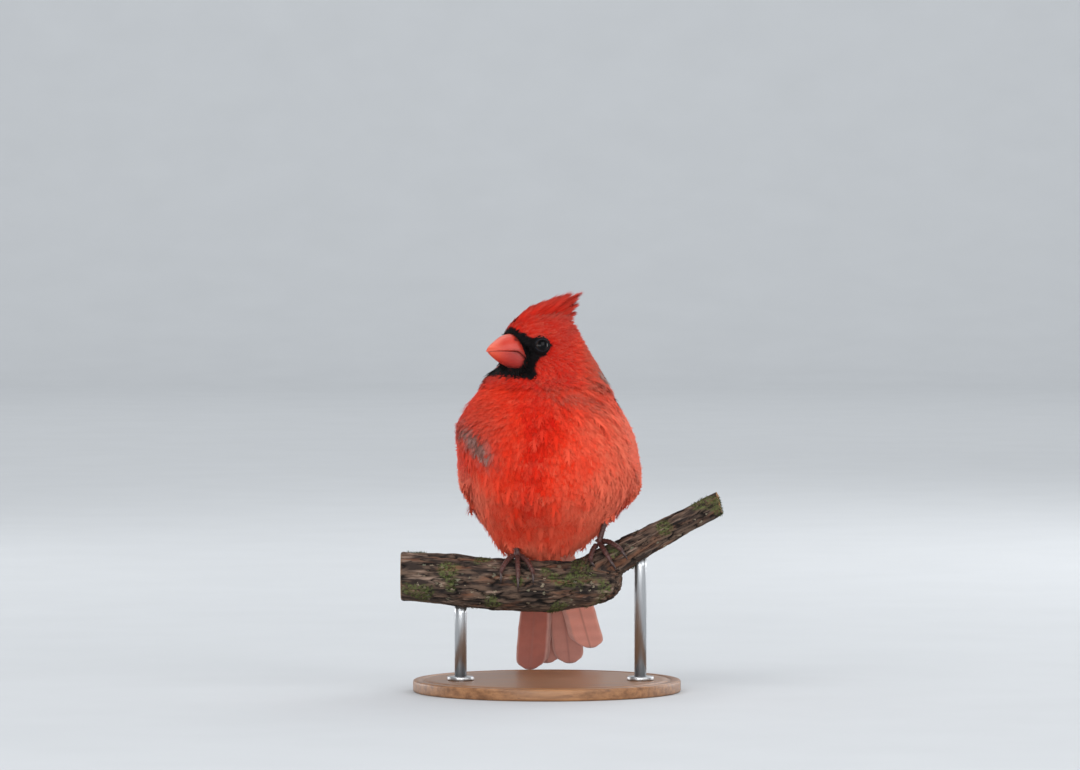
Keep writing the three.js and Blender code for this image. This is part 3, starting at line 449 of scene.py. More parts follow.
def tail_material():
    g = Graph("tail_vanes", 0.6, Specular_IOR_Level=0.3, Sheen_Weight=0.1)
    along, side, barbs = g.mark("along"), g.mark("side"), g.waves(g.mark("barb"), 0.6)
    from_shaft = g.math("ABSOLUTE", g.mark("across"))
    red = g.over(
        g.mottled((174, 96, 78), (146, 78, 64), 4),
        (g.mottled((206, 138, 120), (182, 118, 104), 4), g.ramp(side, -0.75, -0.25)),
        (g.mottled((244, 166, 146), (232, 148, 128), 4), g.ramp(side, 0.25, 0.75)),
        ((232, 190, 176), g.ramp(from_shaft, 0.84, 1.0, 0, 0.5)),
        ((150, 96, 84), g.ramp(from_shaft, 0.02, 0.1, 0.4, 0)),
        ((120, 76, 66), g.ramp(along, 0.7, 1.0, 0, 0.2)),
        ((150, 92, 80), g.ramp(g.waves(along, pi / 30), -1, 1, 0.0, 0.12)),
        ((110, 62, 54), g.ramp(barbs, -1, 1, 0.1, 0)),
    )
    return g.finished(g.toned(red, 0.9, 1.1), barbs, 0.08, 0.6)


def bill_material():
    g = Graph("bill_horn", 0.36, Specular_IOR_Level=0.35, Subsurface_Weight=0.1, Subsurface_Scale=0.001)
    along, streaks = g.mark("along"), g.noise(0.7, 2, g.stretched((0.35, 0.35, 1.0)))
    horn = g.over(
        g.mottled((180, 46, 33), (190, 64, 48), 3.2),
        ((150, 44, 38), g.ramp(along, 0.4, 0.0, 0, 0.7)),
        ((214, 92, 62), g.ramp(along, 0.6, 0.95, 0, 0.6)),
        # Painted shade: the rear of the lower mandible darker, where it lies in shade under the head.
        ((148, 52, 49), g.mark("lower")),
        # Painted highlight: a lighter band along the top of the upper mandible.
        ((218, 112, 94), g.mark("ridge")),
        # Painted shade along the line of the mouth, deepest toward the gape.
        ((84, 36, 34), g.mark("edge")),
        # Painted shade in the pit of the nostril.
        ((40, 22, 24), g.mark("nostril")),
        ((196, 74, 58), g.ramp(streaks, 0.5, 0.75, 0, 0.3)),
    )
    return g.finished(horn, streaks, rough=g.ramp(g.noise(1.2), 0, 1, 0.28, 0.46))


def eye_material():
    g = Graph("eye_ball", 0.2, Specular_IOR_Level=0.13)
    iris = g.mottled((20, 12, 10), (32, 20, 16), 0.35, 2)
    return g.finished(g.mix(iris, (3, 3, 5), g.ramp(g.mark("look"), 0.885, 0.905)))


def lid_material():
    g = Graph("lids", 0.75, Specular_IOR_Level=0.12)
    rim = g.mottled((24, 26, 32), (38, 42, 50), 0.5, 2)
    lid = g.mix(rim, (9, 8, 9), g.ramp(g.mark("share"), 0.06, 0.3))
    return g.finished(lid, g.noise(0.3, 2), strength=0.8)


def foot_material():
    g = Graph("scaly_feet", 0.48, Specular_IOR_Level=0.4)
    scute = g.mark("scute")
    horn = g.over(
        g.mottled((66, 40, 38), (92, 58, 52), 1.6),
        ((36, 20, 20), g.ramp(scute, 0.0, 0.3, 0.8, 0)),
        ((128, 92, 82), g.ramp(scute, 0.75, 1.0, 0, 0.3)),
    )
    return g.finished(horn, g.noise(0.4, 2), strength=0.6)


def claw_material():
    g = Graph("claw_horn", 0.3, Specular_IOR_Level=0.5)
    horn = g.mix(g.mottled((58, 40, 38), (76, 54, 50), 0.8), (24, 16, 18), g.ramp(g.mark("along"), 0.2, 1))
    return g.finished(horn, g.noise(0.4, 2), 0.03, 0.4)


def bark_material():
    g = Graph("bark", 0.9, Specular_IOR_Level=0.2)
    grain = g.mark("grain", "Vector")
    green = g.mottled((70, 78, 42), (104, 112, 66), 1.1)
    bark = g.over(
        g.mix((96, 78, 66), (50, 41, 37), g.ramp(g.noise(2.6, 4, grain), 0.42, 0.58)),
        ((122, 80, 58), g.ramp(g.noise(4.2, 3, grain), 0.55, 0.68, 0, 0.6)),
        ((164, 140, 124), g.ramp(g.noise(1.7, 4, g.stretched((0.5, 1.0, 1.0), grain)), 0.57, 0.68, 0, 0.6)),
        ((28, 25, 24), g.ramp(g.noise(1.1, 4, grain), 0.54, 0.64, 0, 0.85)),
        # Painted shade: the cracks painted near black, darkening the sunken fissures.
        ((18, 15, 14), g.mark("crack")),
        (green, g.math("MULTIPLY", g.mark("lichen"), g.ramp(g.noise(1.2), 0.42, 0.6, 0, 0.85))),
    )
    wood = g.mix((168, 132, 96), (128, 94, 66), g.ramp(g.math("SINE", g.mark("ring")), -1, 1))
    return g.finished(g.mix(bark, wood, g.mark("cut")), g.noise(0.7, 5, grain), 0.3, 0.9)


def moss_material():
    g = Graph("moss", 0.9, Specular_IOR_Level=0.15)
    leaf = g.mix((46, 50, 28), (80, 84, 44), g.mark("tone"))
    leaf = g.mix(leaf, (116, 116, 66), g.ramp(g.mark("along"), 0.6, 1, 0, 0.6))
    return g.finished(leaf, g.noise(0.4, 2), strength=0.4)


def lichen_material():
    g = Graph("lichen", 0.85, Specular_IOR_Level=0.2)
    flake = g.mix((96, 98, 82), (138, 122, 104), g.mark("tone"))
    flake = g.mix(flake, (70, 72, 58), g.ramp(g.noise(0.8), 0.5, 0.75, 0, 0.7))
    return g.finished(flake, g.noise(0.5), 0.15, 0.7)


def base_material():
    g = Graph("stand_wood", 0.42, Specular_IOR_Level=0.4, Coat_Weight=0.15, Coat_Roughness=0.25)
    grain = g.noise(2.2, 5, g.stretched((0.06, 1.0, 1.0), turn=8), 0.62)
    pores = g.noise(0.5, 3, g.stretched((0.05, 1.0, 1.0), turn=8))
    wood = g.mix((112, 74, 46), (158, 112, 74), g.ramp(grain, 0.35, 0.65))
    wood = g.mix(wood, (70, 44, 28), g.ramp(pores, 0.6, 0.75, 0, 0.6))
    return g.finished(wood, pores, 0.08, rough=g.ramp(grain, 0.3, 0.7, 0.36, 0.5))


def steel_material():
    g = Graph("rod_steel", 0.34, Metallic=1.0)
    lines = g.noise(0.25, 2, g.stretched((1, 1, 0.04)))
    steel = g.mix((168, 170, 172), (196, 198, 200), lines)
    return g.finished(steel, lines, 0.02, 0.4, g.ramp(lines, 0.2, 0.8, 0.28, 0.42))


def floor_material():
    g = Graph("floor_paint", 0.85, Specular_IOR_Level=0.2)
    return g.finished(g.mottled((192, 195, 198), (198, 201, 204), 60, 2))


# Head
head_turn = radians(HEAD["turn"])
head_forward = np.array([-sin(head_turn), -cos(head_turn), 0.0])
head_left = np.array([cos(head_turn), -sin(head_turn), 0.0])
head_up = np.array([0.0, 0.0, 1.0])
head_place = np.array(HEAD["place"], float)


def head_point(forward, left, up):
    forward, left, up = columns(forward, left, up)
    return head_place + forward * head_forward + left * head_left + up * head_up


def head_direction(forward, left, up):
    return unit(forward * head_forward + left * head_left + up * head_up)


def head_coords(points):
    from_head = points - head_place
    return from_head @ head_forward, from_head @ head_left, from_head @ head_up


def eye_look(side):
    ahead = radians(EYE["ahead"])
    look = head_direction(sin(ahead), side * cos(ahead), EYE["raise"])
    return look, head_point(EYE["forward"], side * EYE["out"], EYE["up"])


# Skin: body, head and thighs as one closed mesh
body_right, body_left, body_front, body_back = (smooth(t) for t in (SIDE_RIGHT, SIDE_LEFT, FRONT, BACK))


def body_rings(levels, sides):
    z = ease(levels, BODY["bottom"], BODY["top"])[:, None]
    turns, power = circle(sides), 2 / BODY["squareness"]
    x = between(body_right(z), body_left(z), round_power(np.cos(turns), power))
    y = between(body_front(z), body_back(z), round_power(np.sin(turns), power))
    return np.stack([x, y, np.broadcast_to(z, x.shape)], -1)


def head_rings(stations, sides):
    forward = ease(stations, HEAD_TOP[0][0], HEAD_TOP[-1][0])[:, None]
    turns, power = circle(sides), 2 / HEAD["squareness"]
    left = smooth(HEAD_HALF_WIDTH)(forward) * round_power(np.sin(turns), power)
    up = between(smooth(HEAD_BOTTOM)(forward), smooth(HEAD_TOP)(forward), round_power(np.cos(turns), power))
    return head_point(forward, left, up)


def tube_rings(path, radii, sides, normal=(0.0, -1.0, 0.0), ripple=None):
    """Rings round a path. The first corner of each ring lies toward the normal."""
    rings = []
    for i, (at, along) in enumerate(zip(path, unit(np.gradient(path, axis=0)))):
        normal = unit(normal - along * (normal @ along))
        radius = np.reshape(radii[i] * (1 if ripple is None else ripple[i]), (-1, 1))
        rings.append(at + around(circle(sides), normal, np.cross(along, normal)) * radius)
    return np.array(rings)


def thigh_rings(foot):
    x, z = foot["top"]
    t = np.linspace(0, 1, 12)
    path = np.stack([x - x * 0.15 * t, foot["y"] + 3 * t, z + 0.4 + 12 * t], 1)
    return tube_rings(path, mix(3.4, 7, t**0.8), 24)


def read(items, key, width, kind):
    values = np.zeros(len(items) * width, kind)
    items.foreach_get(key, values)
    return values.reshape(-1, width)


def fused(name, parts, voxel, rounds):
    """Solids that overlap, as one smooth skin."""
    thing = put_in_scene(name, mesh_of(name, *joined(parts)))
    remesh = thing.modifiers.new("fuse", "REMESH")
    remesh.mode = "VOXEL"
    remesh.voxel_size = voxel * MM
    mesh = thing.evaluated_get(bpy.context.evaluated_depsgraph_get()).to_mesh()
    mesh.calc_loop_triangles()
    points = read(mesh.vertices, "co", 3, np.float32).astype(float) / MM
    triangles = read(mesh.loop_triangles, "vertices", 3, np.int32)
    start, end = read(mesh.edges, "vertices", 2, np.int32).T
    bpy.data.objects.remove(thing)
    neighbours = np.bincount(np.append(start, end), minlength=len(points))[:, None]
    for _ in range(rounds):
        total = np.zeros_like(points)
        np.add.at(total, start, points[end])
        np.add.at(total, end, points[start])
        points = mix(points, total / neighbours, 0.6)
    return points, triangles


def face_cross(points, triangles):
    a, b, c = points[triangles.T]
    return np.cross(b - a, c - a)


def point_normals(points, triangles):
    total, face = np.zeros_like(points), face_cross(points, triangles)
    for corner in triangles.T:
        np.add.at(total, corner, face)
    return unit(total)


# Folded wings lie on a carrier that widens and narrows along the body
wing_radius, bed_low, bed_high = smooth(WING_RADIUS), smooth(BED_LOW), smooth(BED_HIGH)
wing_dip = radians(WING["dip"])
wing_axis = np.array([0, cos(wing_dip), -sin(wing_dip)])
wing_ridge = np.array([0, sin(wing_dip), cos(wing_dip)])
wing_place = np.array(WING["place"], float)


def wing_out(side, angle):
    return around(np.radians(angle), wing_ridge, np.array([side, 0.0, 0.0]))


def drawn_in(side, along, angle):
    """How far the folded wing is pressed into the fluffed coat."""
    if side > 0:
        return 2.2 * step(104, 86, angle) * step(28, 4, along)
    return 3.2 * step(66, 84, angle) * step(36, 12, along)


def wing_point(side, along, angle, out):
    along, angle, out = np.broadcast_arrays(along, angle, out)
    reach = wing_radius(along) + out - drawn_in(side, along, angle)
    return wing_place + along[..., None] * wing_axis + wing_out(side, angle) * reach[..., None]


def wing_coords(points, side):
    from_wing = points - wing_place
    along = from_wing @ wing_axis
    across, rise = from_wing[:, 0] * side, from_wing @ wing_ridge
    return along, np.degrees(np.arctan2(across, rise)), np.hypot(across, rise) - wing_radius(along)


def under_wing(points, side, margin):
    """What lies under the flight feathers, and what lies under the coverts at the shoulder."""
    along, angle, _ = wing_coords(points, side)
    flight = (step(3, 6, along) * step(bed_low(along) - margin, bed_low(along) + 2, angle)
              * (1 - step(bed_high(along) - 2, bed_high(along) + margin, angle)))
    shield = (step(-11, -8, along) * (1 - step(28, 31, along)) * step(44 - margin, 46, angle)
              * (1 - step(104, 106 + margin, angle)))
    return flight, shield


def neck_crease(points):
    """Where the feathers of the cheek end and those of the breast begin, in front and at the left."""
    x, y, z = points.T
    return spot((z - 134 - 0.03 * x, 1.6)) * step(2, -8, y) * step(-20, -8, x) * step(22, 14, x)


def skin_surface():
    solids = [body_rings(110, 140), head_rings(60, 80)] + [thigh_rings(foot) for foot in FEET.values()]
    points, triangles = fused("skin_rough", [loft(rings) for rings in solids], 0.85, 10)
    depth = mix(COAT["body"], COAT["head"], step(132, 142, points[:, 2])) + 0.7 * neck_crease(points)
    points = points - point_normals(points, triangles) * depth[:, None]
    for side in (1, -1):
        flight, shield = under_wing(points, side, 2.5)
        along, angle, out = wing_coords(points, side)
        lower = out
        for covered, room in ((flight, -4.8), (shield, -2.2)):
            lower = np.minimum(lower, room - drawn_in(side, along, angle)) * covered + lower * (1 - covered)
        points = points + wing_out(side, angle) * (lower - out)[:, None]
    return points, triangles, point_normals(points, triangles)


# Markings, the same for skin and feathers
def mask(points):
    """The black round the bill and the eye and under the chin."""
    forward, _, up = head_coords(points)
    rough = noise_at(points, 1.6, 1) * 0.7
    upper = np.interp(forward, *MASK_EDGES["upper"])
    rear = np.interp(up, *MASK_EDGES["rear"])
    lower = np.interp(points[:, 0], *MASK_EDGES["lower"])
    black = (step(0.35, -0.35, up - upper + rough * 0.5) * step(-0.35, 0.35, forward - rear + rough * 0.6)
             * step(-0.4, 0.4, up - lower + rough * 0.6) * step(129, 133, points[:, 2]))
    for side in (1, -1):
        look, centre = eye_look(side)
        from_eye = points - centre
        ahead = from_eye @ look
        behind = step(0, -4, from_eye @ head_forward) * step(1.6, 0, np.abs(up - EYE["up"]))
        higher = np.maximum(from_eye @ head_up, 0)[:, None] * head_up
        apart = np.linalg.norm(from_eye - ahead[:, None] * look + 0.3 * higher, axis=1)
        black = np.maximum(black, step(4.7, 4.2, apart - 0.5 * behind + 0.5 * rough) * (ahead > 0))
    return clamp(black)


def markings(points):
    """How much each colour covers at points of the bird."""
    forward, _, up = head_coords(points)
    x, y, z = points.T
    on_head = step(129, 133, z)
    crown = step(5, 11, up) * step(12, -2, forward) * on_head
    back = step(2, 22, y) * step(82, 112, z)
    nape = step(7, 15, x) * step(126, 132, z) * step(154, 148, z)
    patch_x, patch_z = x + 27.3, z - 109.5
    patch = spot((0.62 * patch_x - 0.78 * patch_z, 8.5), (0.78 * patch_x + 0.62 * patch_z, 4.0)) * (y < 2)
    outward = np.abs(x) - 18 - 0.94 * np.maximum(135 - z, 0)
    scapular = (step(-22, -18, y) * step(26, 0, y) * step(120, 124, z) * step(140, 134, z)
                * step(-0.5, 0.6, outward) * (x > 0))
    # Brownish band under the cheek: partly the brownish feather bases that show there, partly painted shadow
    # of the overhanging cheek.
    brownish_shade_under_cheek = spot((z - 129 + 0.3 * x, 3.6)) * step(-6, 3, x) * step(24, 15, x) * step(6, -4, y)
    right_breast = spot((x + 21, 8), (z - 117, 9)) * step(6, -4, y)
    centre = spot((x + 5 - noise_at(points, 30, 2) * 5, 6.5)) * step(30, -5, y) * step(66, 80, z)
    # Painted light: a soft pool of light on the lower belly, painted paler and less deep red, as if light
    # came up from below.
    painted_light_wedge = spot((x + 7, 10), (z - 62, 6)) * step(24, 8, y)
    # Painted light: the flanks painted paler where the light falls on them, on the bird's left higher up and
    # on its right lower down.
    sides = 1.6 * step(-1, 30, x) * step(138, 116, z) + 0.7 * step(-14, -34, x) * step(116, 84, z)
    # Painted light: the lowest feathers and the lower flanks painted paler, standing in for light that
    # reaches them from below.
    below = step(84, 70, z) * step(-8, 10, y) + step(21, 29, np.abs(x)) * step(98, 86, z)
    cloud, streaks = noise_at(points, 7, 3), noise_at(points, 2.2, 4)
    red_head = on_head * (1 - nape)
    dull = [back, 0.42 * crown, scapular, 0.26 * on_head, 0.55 * nape, 0.5 * brownish_shade_under_cheek, 0.3 * right_breast]
    # Pale is partly the coat's own paler colour and partly painted light: the sides, below and the wedge.
    pale = 0.55 * sides + 0.3 * step(104, 76, z) + 0.5 * below + 1.2 * painted_light_wedge + 0.3 * nape + 0.3 * cloud
    return {
        "black": mask(points),
        "grey": clamp(1.5 * patch * (0.8 + streaks) + scapular * (0.9 + 0.3 * streaks), 0.92),
        "dull": clamp(np.maximum.reduce(dull) + 0.25 * cloud * (back > 0.1)),
        "pale": clamp(pale) * (1 - 0.85 * red_head),
        "deep": clamp(0.75 * centre + 0.9 * red_head + 0.2 * noise_at(points, 12, 5)) * (1 - painted_light_wedge),
    }


def bare_marks(points, tone, along):
    """Marks for skin with no feathers of its own: its tone, and the part of a feather it looks like."""
    return markings(points) | {"tone": np.full(len(points), tone), "along": np.full(len(points), along)}


def bake_place(points):
    """Where a root lies on an unwrap of the skin: rings of the head above, rings of the body below."""
    forward, left, up = head_coords(points)
    x, y, z = points.T
    on_head = z > 136
    turn = np.where(on_head, np.arctan2(left, up), np.arctan2(x, y - 4)) / (2 * pi) + 0.5
    v = np.where(on_head, 0.66 + 0.31 * (forward + 25) / 36, 0.03 + 0.6 * (z - 56) / 81)
    return np.stack([turn * 0.96 + 0.02, v], 1)


# Feathers: a narrow core along each shaft, and barbs that leave it on both sides
def feather_marks(marks, tone, along):
    count = along.shape[1]
    spread = {name: np.repeat(values, count) for name, values in marks.items()}
    for name, change in (("pale", 0.1), ("deep", 0.12)):
        spread[name] = clamp(spread[name] + np.repeat(random.normal(0, change, len(tone)), count))
    spread["tone"] = clamp(np.repeat(tone, count) + random.normal(0, 0.07, len(tone) * count))
    spread["along"] = along.ravel()
    return spread


def grow(name, root, middle, tip, normal, half, barbs, barb_width, marks, slot="red_coat", spread=0.28,
         droop=0.22, fluff=0.05, soft=0.78, crisp_mask=False):
    """Feathers on curved shafts from root to tip, split into pieces that stay small enough.

    Spread is how far a barb runs along the shaft, droop and fluff bend the barbs' tips, and soft is the share
    of the coat's own direction in the shading.
    """
    order = np.argsort(bake_place(root)[:, 0] + 2 * (root[:, 2] > 136))
    root, middle, tip, normal, half = (v[order] for v in (root, middle, tip, normal, half))
    count = len(root)
    tone = random.random(count)
    length = np.linalg.norm(tip - root, axis=1)
    corners, triangles = [], []

    def shaft(u):
        u = np.reshape(u, (-1, 1))
        at = (1 - u) ** 2 * root + 2 * u * (1 - u) * middle + u**2 * tip
        along = unit(2 * (1 - u) * (middle - root) + 2 * u * (tip - middle))
        side = unit(np.cross(along, normal))
        return at, side, np.cross(side, along)

    def corner(at, up, along, across):
        lit = unit(soft * normal + (1 - soft) * up)
        corners.append((at, lit, np.broadcast_to(along, (count,)), np.broadcast_to(across, (count,))))
        return len(corners) - 1

    core = []
    for u, wide in FEATHER_CORE:
        at, side, up = shaft(np.full(count, u))
        edge, ends = side * (wide * half)[:, None], (1, -1) if wide else (0,)
        core.append([corner(at + s * edge, up + 0.3 * s * side, u, s * wide) for s in ends])
    for (a, b), (c, d) in zip(core[:2], core[1:3]):
        triangles += [(a, d, b), (a, c, d)]
    triangles.append((core[2][0], core[3][0], core[2][1]))
    for k, s in product(range(barbs), (1, -1)):
        start = mix(0.02, 0.8, (k + random.random(count)) / barbs)
        end = np.minimum(start + spread * (0.8 + 0.4 * random.random(count)), 1.03)
        wide = np.minimum(1, (end / 0.4)) ** 0.6 * (1 - clamp((end - 0.55) / 0.5) ** 2 * 0.85)
        wide = wide * (0.8 + 0.4 * random.random(count))
        foot, foot_side, foot_up = shaft(start)
        point, side, up = shaft(end)
        lifted = up * (length * fluff * random.normal(0, 1, count) - droop * half * wide**2)[:, None]
        point = point + side * (s * half * wide)[:, None] + lifted
        bend = (mix(foot, point, 0.5) + side * (s * 0.12 * half * wide)[:, None]
                + foot_up * (0.05 * half)[:, None])
        width = barb_width * (0.8 + 0.4 * random.random(count))
        flat = unit(np.cross(point - foot, foot_up)) * width[:, None]
        tilt = foot_up + foot_side * (0.45 * s * wide)[:, None]
        halfway = (start + end) / 2
        a, b = (corner(foot + flat * edge, tilt, start, 0.1 * s) for edge in (0.5, -0.5))
        c, d = (corner(bend + flat * edge, tilt, halfway, s * wide / 2) for edge in (0.45, -0.45))
        e = corner(point, tilt, end, s * wide)
        triangles += [(a, d, b), (a, c, d), (c, e, d)]
    places, lit, along, across = (np.stack(values, 1) for values in zip(*corners))
    feathers = feather_marks({key: values[order] for key, values in marks.items()}, tone, along)
    if crisp_mask:
        feathers["black"] = mask(mix(root[:, None, :], places, 0.75).reshape(-1, 3))
    uv = (bake_place(root)[:, None, :] + np.stack([across, along - 0.5], -1) * BAKE_PATCH).reshape(-1, 2)
    share = TRIANGLES_PER_PIECE // len(triangles)
    for number, start in enumerate(range(0, count, share)):
        mine = slice(start, min(start + share, count))
        rows = slice(mine.start * len(corners), mine.stop * len(corners))
        piece(f"{name}_{number + 1}", places[mine].reshape(-1, 3),
              [repeated(triangles, mine.stop - mine.start, len(corners))], PLUMAGE, slot,
              {key: values[rows] for key, values in feathers.items()}, uv[rows], lit[mine].reshape(-1, 3))


def repeated(triangles, count, corners):
    """The triangles of one small thing, for as many of them as there are."""
    return (np.array(triangles)[None] + np.arange(count)[:, None, None] * corners).reshape(-1, 3)


def scatter(points, triangles, spacing, keep, candidates):
    """Random roots on the triangles, at least their spacing apart."""
    area = np.linalg.norm(face_cross(points, triangles), axis=1)
    chosen = random.choice(len(triangles), candidates, p=area / area.sum())
    p, q = random.random(candidates), random.random(candidates)
    over = p + q > 1
    p, q = np.where(over, 1 - p, p)[:, None], np.where(over, 1 - q, q)[:, None]
    a, b, c = points[triangles[chosen].T]
    roots = a + p * (b - a) + q * (c - a)
    good = keep(roots)
    roots, chosen = roots[good], chosen[good]
    gaps = np.broadcast_to(spacing(roots) if callable(spacing) else spacing, len(roots))
    size = float(gaps.max())
    cells, taken = {}, []
    for i, (root, gap) in enumerate(zip(roots.tolist(), gaps.tolist())):
        x, y, z = (int(v // size) for v in root)
        near = (cells.get((x + dx, y + dy, z + dz), ()) for dx, dy, dz in NEXT_CELLS)
        if not any(dist(root, other) < gap for others in near for other in others):
            cells.setdefault((x, y, z), []).append(root)
            taken.append(i)
    return roots[taken], chosen[taken]


def lie(roots, normals):
    """The way the feathers point: back from the bill on the head, down and back to the vent on the body."""
    from_bill = unit(roots - head_point(19, 0, -1))
    from_bill = from_bill + np.array([0, 0, -0.25]) * step(-4, -12, head_coords(roots)[2])[:, None]
    downward = np.stack([0.006 * roots[:, 0], np.full(len(roots), 0.42), np.full(len(roots), -1.0)], 1)
    flow = on_surface(mix(unit(downward), from_bill, step(133, 146, roots[:, 2])[:, None]), normals)
    swing = noise_at(roots, 14, 6) * 0.35 + random.normal(0, 0.1, len(roots))
    hang = np.array([0, -0.4, -0.95]) * (step(76, 66, roots[:, 2]) * step(30, 14, roots[:, 1]))[:, None]
    return unit(flow + np.cross(normals, flow) * swing[:, None] + hang)


def over_skin(points, low, high=99.0):
    """Points held between a least and a greatest height over the skin."""
    moved = points.copy()
    low, high = np.broadcast_to(low, len(points)), np.broadcast_to(high, len(points))
    for i, (point, least, most) in enumerate(zip(points, low, high)):
        place, normal, _, _ = SKIN_TREE.find_nearest(Vector(point))
        height = (Vector(point) - place) @ normal
        if -FARTHEST_SUNK < height < least or height > most:
            moved[i] = place + normal * float(least if height < least else most)
    return moved


def clear_of_openings(roots):
    """Away from the bill, the eyes and what lies under the wings."""
    forward, left, up = head_coords(roots)
    good = (forward <= 4.2) | (np.hypot(left / 7.0, (up + 2.4) / 7.4) >= 1)
    for side in (1, -1):
        look, centre = eye_look(side)
        ahead = (roots - centre) @ look
        apart = np.linalg.norm(roots - centre - ahead[:, None] * look, axis=1)
        good &= (apart > EYE["aperture"] + 0.3) | (ahead < 0) | (ahead > 7)
        flight, shield = under_wing(roots, side, 0)
        good &= (flight < 0.5) & (shield < 0.5)
    return good


def coat_spacing(roots):
    on_head = step(130, 140, roots[:, 2])
    face = step(-6, 6, head_coords(roots)[0]) * on_head
    return mix(mix(SPACING["body"], SPACING["head"], on_head), SPACING["mask"], face)


def coat():
    points, triangles, normals = SKIN
    roots, chosen = scatter(points, triangles, coat_spacing, clear_of_openings, 120000)
    (x, y, z), (forward, left, up) = roots.T, head_coords(roots)
    normal = unit(normals[triangles[chosen]].mean(1) + 0.2 * unit(face_cross(points, triangles))[chosen])
    way = lie(roots, normal)
    on_head = step(130, 141, z)
    face = step(-9, 8.5, forward) * on_head
    forehead = step(2, 7, up) * step(0, 4, forward) * step(9, 6, forward) * on_head
    cheek_edge = step(133, 135, z) * step(141, 137, z) * step(6, -4, y)
    crown = step(3, 8, up) * step(10, 6, forward) * step(-21, -15, forward) * on_head
    to_crest = (head_direction(-0.93, 0, 0) + head_up * (0.1 + 0.3 * step(6, 11, up))[:, None]
                - head_left * (0.12 * np.sign(left))[:, None])
    way = unit(mix(way, unit(to_crest), (0.8 * crown)[:, None]))
    length = mix(mix(7.8, 5.4, on_head), 1.9, face) + 1.8 * step(95, 72, z) * (1 - on_head)
    length = length - 2.4 * step(66, 60, z)
    length = (length + 1.6 * forehead + 3.6 * crown) * (0.85 + 0.3 * random.random(len(roots)))
    at_shank = step(4.5, 2.5, np.abs(x - FEET["right"]["place"][0])) * step(1, -1, y) * step(72, 68, z)
    room_below = np.maximum(z - 60.8, 2.4) / np.maximum(-way[:, 2], 0.3)
    length = mix(length, np.minimum(length, room_below), at_shank)
    stray = random.random(len(roots)) < 0.03 * (1 - on_head)
    length = length * np.where(stray, 1.3, 1)
    half = length * mix(0.25, 0.2, on_head) * (0.9 + 0.2 * random.random(len(roots))) * (1 - 0.4 * crown)
    lift = length * (mix(0.04, 0.06, on_head) * (1 + 0.3 * noise_at(roots, 6, 7)) + 0.16 * forehead
                     + 0.05 * cheek_edge + 0.04 * crown + 0.1 * stray)
    ruff = 0.7 * step(11, 17, x) * step(127, 132, z) * step(143, 138, z)
    root = roots - normal * 0.25 + normal * (1.1 * ruff)[:, None]
    middle = root + way * (length * 0.5)[:, None] + normal * (lift * 1.1 + 0.25)[:, None]
    tip = root + way * length[:, None] + normal * (lift * 0.6 + 0.25)[:, None]
    least, most = 0.04 * length + 0.3 + ruff, 1.8 + 1.8 * stray + 4 * step(76, 66, z) + 9 * on_head + ruff
    middle, tip = over_skin(middle, least, most), over_skin(tip, least, most)
    normal = unit(normal + np.array([0, -0.9, 0.2]) * (step(88, 58, z) * step(16, 2, y))[:, None])
    marks = markings(roots)
    for name, mine, barbs, width in (("body", on_head < 0.5, 10, 0.36), ("head", on_head >= 0.5, 7, 0.26)):
        grow(f"coat_{name}", *(v[mine] for v in (root, middle, tip, normal, half)), barbs, width,
             {key: values[mine] for key, values in marks.items()}, crisp_mask=name == "head")


def crest():
    rows = np.array(CREST_ROWS)
    root_f, root_u, tip_f, tip_u, _, tip_fan = (smooth(list(enumerate(column))) for column in rows.T)
    r = np.sort(random.random(380) ** 1.15) * (len(rows) - 1)
    strand = np.round(r) + 0.35 * (r - np.round(r))
    place = random.uniform(-1, 1, len(r))
    reach = 1 - 0.16 * place**2 - 0.3 * random.random(len(r)) ** 1.5
    fan = place * np.interp(r, range(len(rows)), rows[:, 4])
    root = head_point(root_f(r), fan, root_u(r) - 1.1 - 0.8 * place**2)
    tip = head_point(mix(root_f(r), tip_f(strand), reach), place * tip_fan(strand) * 1.1,
                     mix(root_u(r), tip_u(strand), reach**0.85) - 0.9 * place**2)
    length = np.linalg.norm(tip - root, axis=1)
    arch = length * np.interp(r, [0, 1.5, 3], [0.17, 0.12, 0.07])
    middle = mix(root, tip, 0.45) + head_up * arch[:, None]
    for sign in (1, -1):
        count = 260
        low, ahead = random.random(count), random.uniform(-0.8, 5.6, count)
        low_f = np.interp(ahead, [-1, 0, 6], [8.2, 6.6, -13.5]) - 1.5 * low
        foot = head_point(low_f, sign * mix(2.5, 7.4, low), mix(11.5, 9, low))
        foot = np.array([SKIN_TREE.find_nearest(Vector(p))[0] for p in foot])
        size = mix(9.5, 5.5, low) * random.uniform(0.8, 1.15, count)
        end = over_skin(foot + head_direction(-0.9, -0.18 * sign, 0.3) * size[:, None], mix(1.8, 0.6, low))
        bend = over_skin(mix(foot, end, 0.5) + head_up * 0.5, mix(1.6, 0.6, low))
        root, middle, tip = np.vstack([root, foot]), np.vstack([middle, bend]), np.vstack([tip, end])
        place, length = np.append(place, sign * mix(0.9, 1.6, low)), np.append(length, size)
    normal = unit(head_up + place[:, None] * head_left * 0.9)
    marks = markings(root) | {key: np.full(len(root), share) for key, share in CREST_MARKS.items()}
    grow("crest", root, middle, tip, normal, 0.6 + 0.035 * length, 12, 0.32, marks, spread=0.34, droop=0.3,
         fluff=0.02, soft=0.25)


# Eyes and lids
def eyes():
    for name, side in SIDES:
        look, centre = eye_look(side)
        across = unit(np.cross(look, head_up))
        up = np.cross(across, look)
        eye_ball(name, centre, look, across, up)
        lids(name, centre, look, across, up)
        eye_feathers(name, centre, look, across, up)


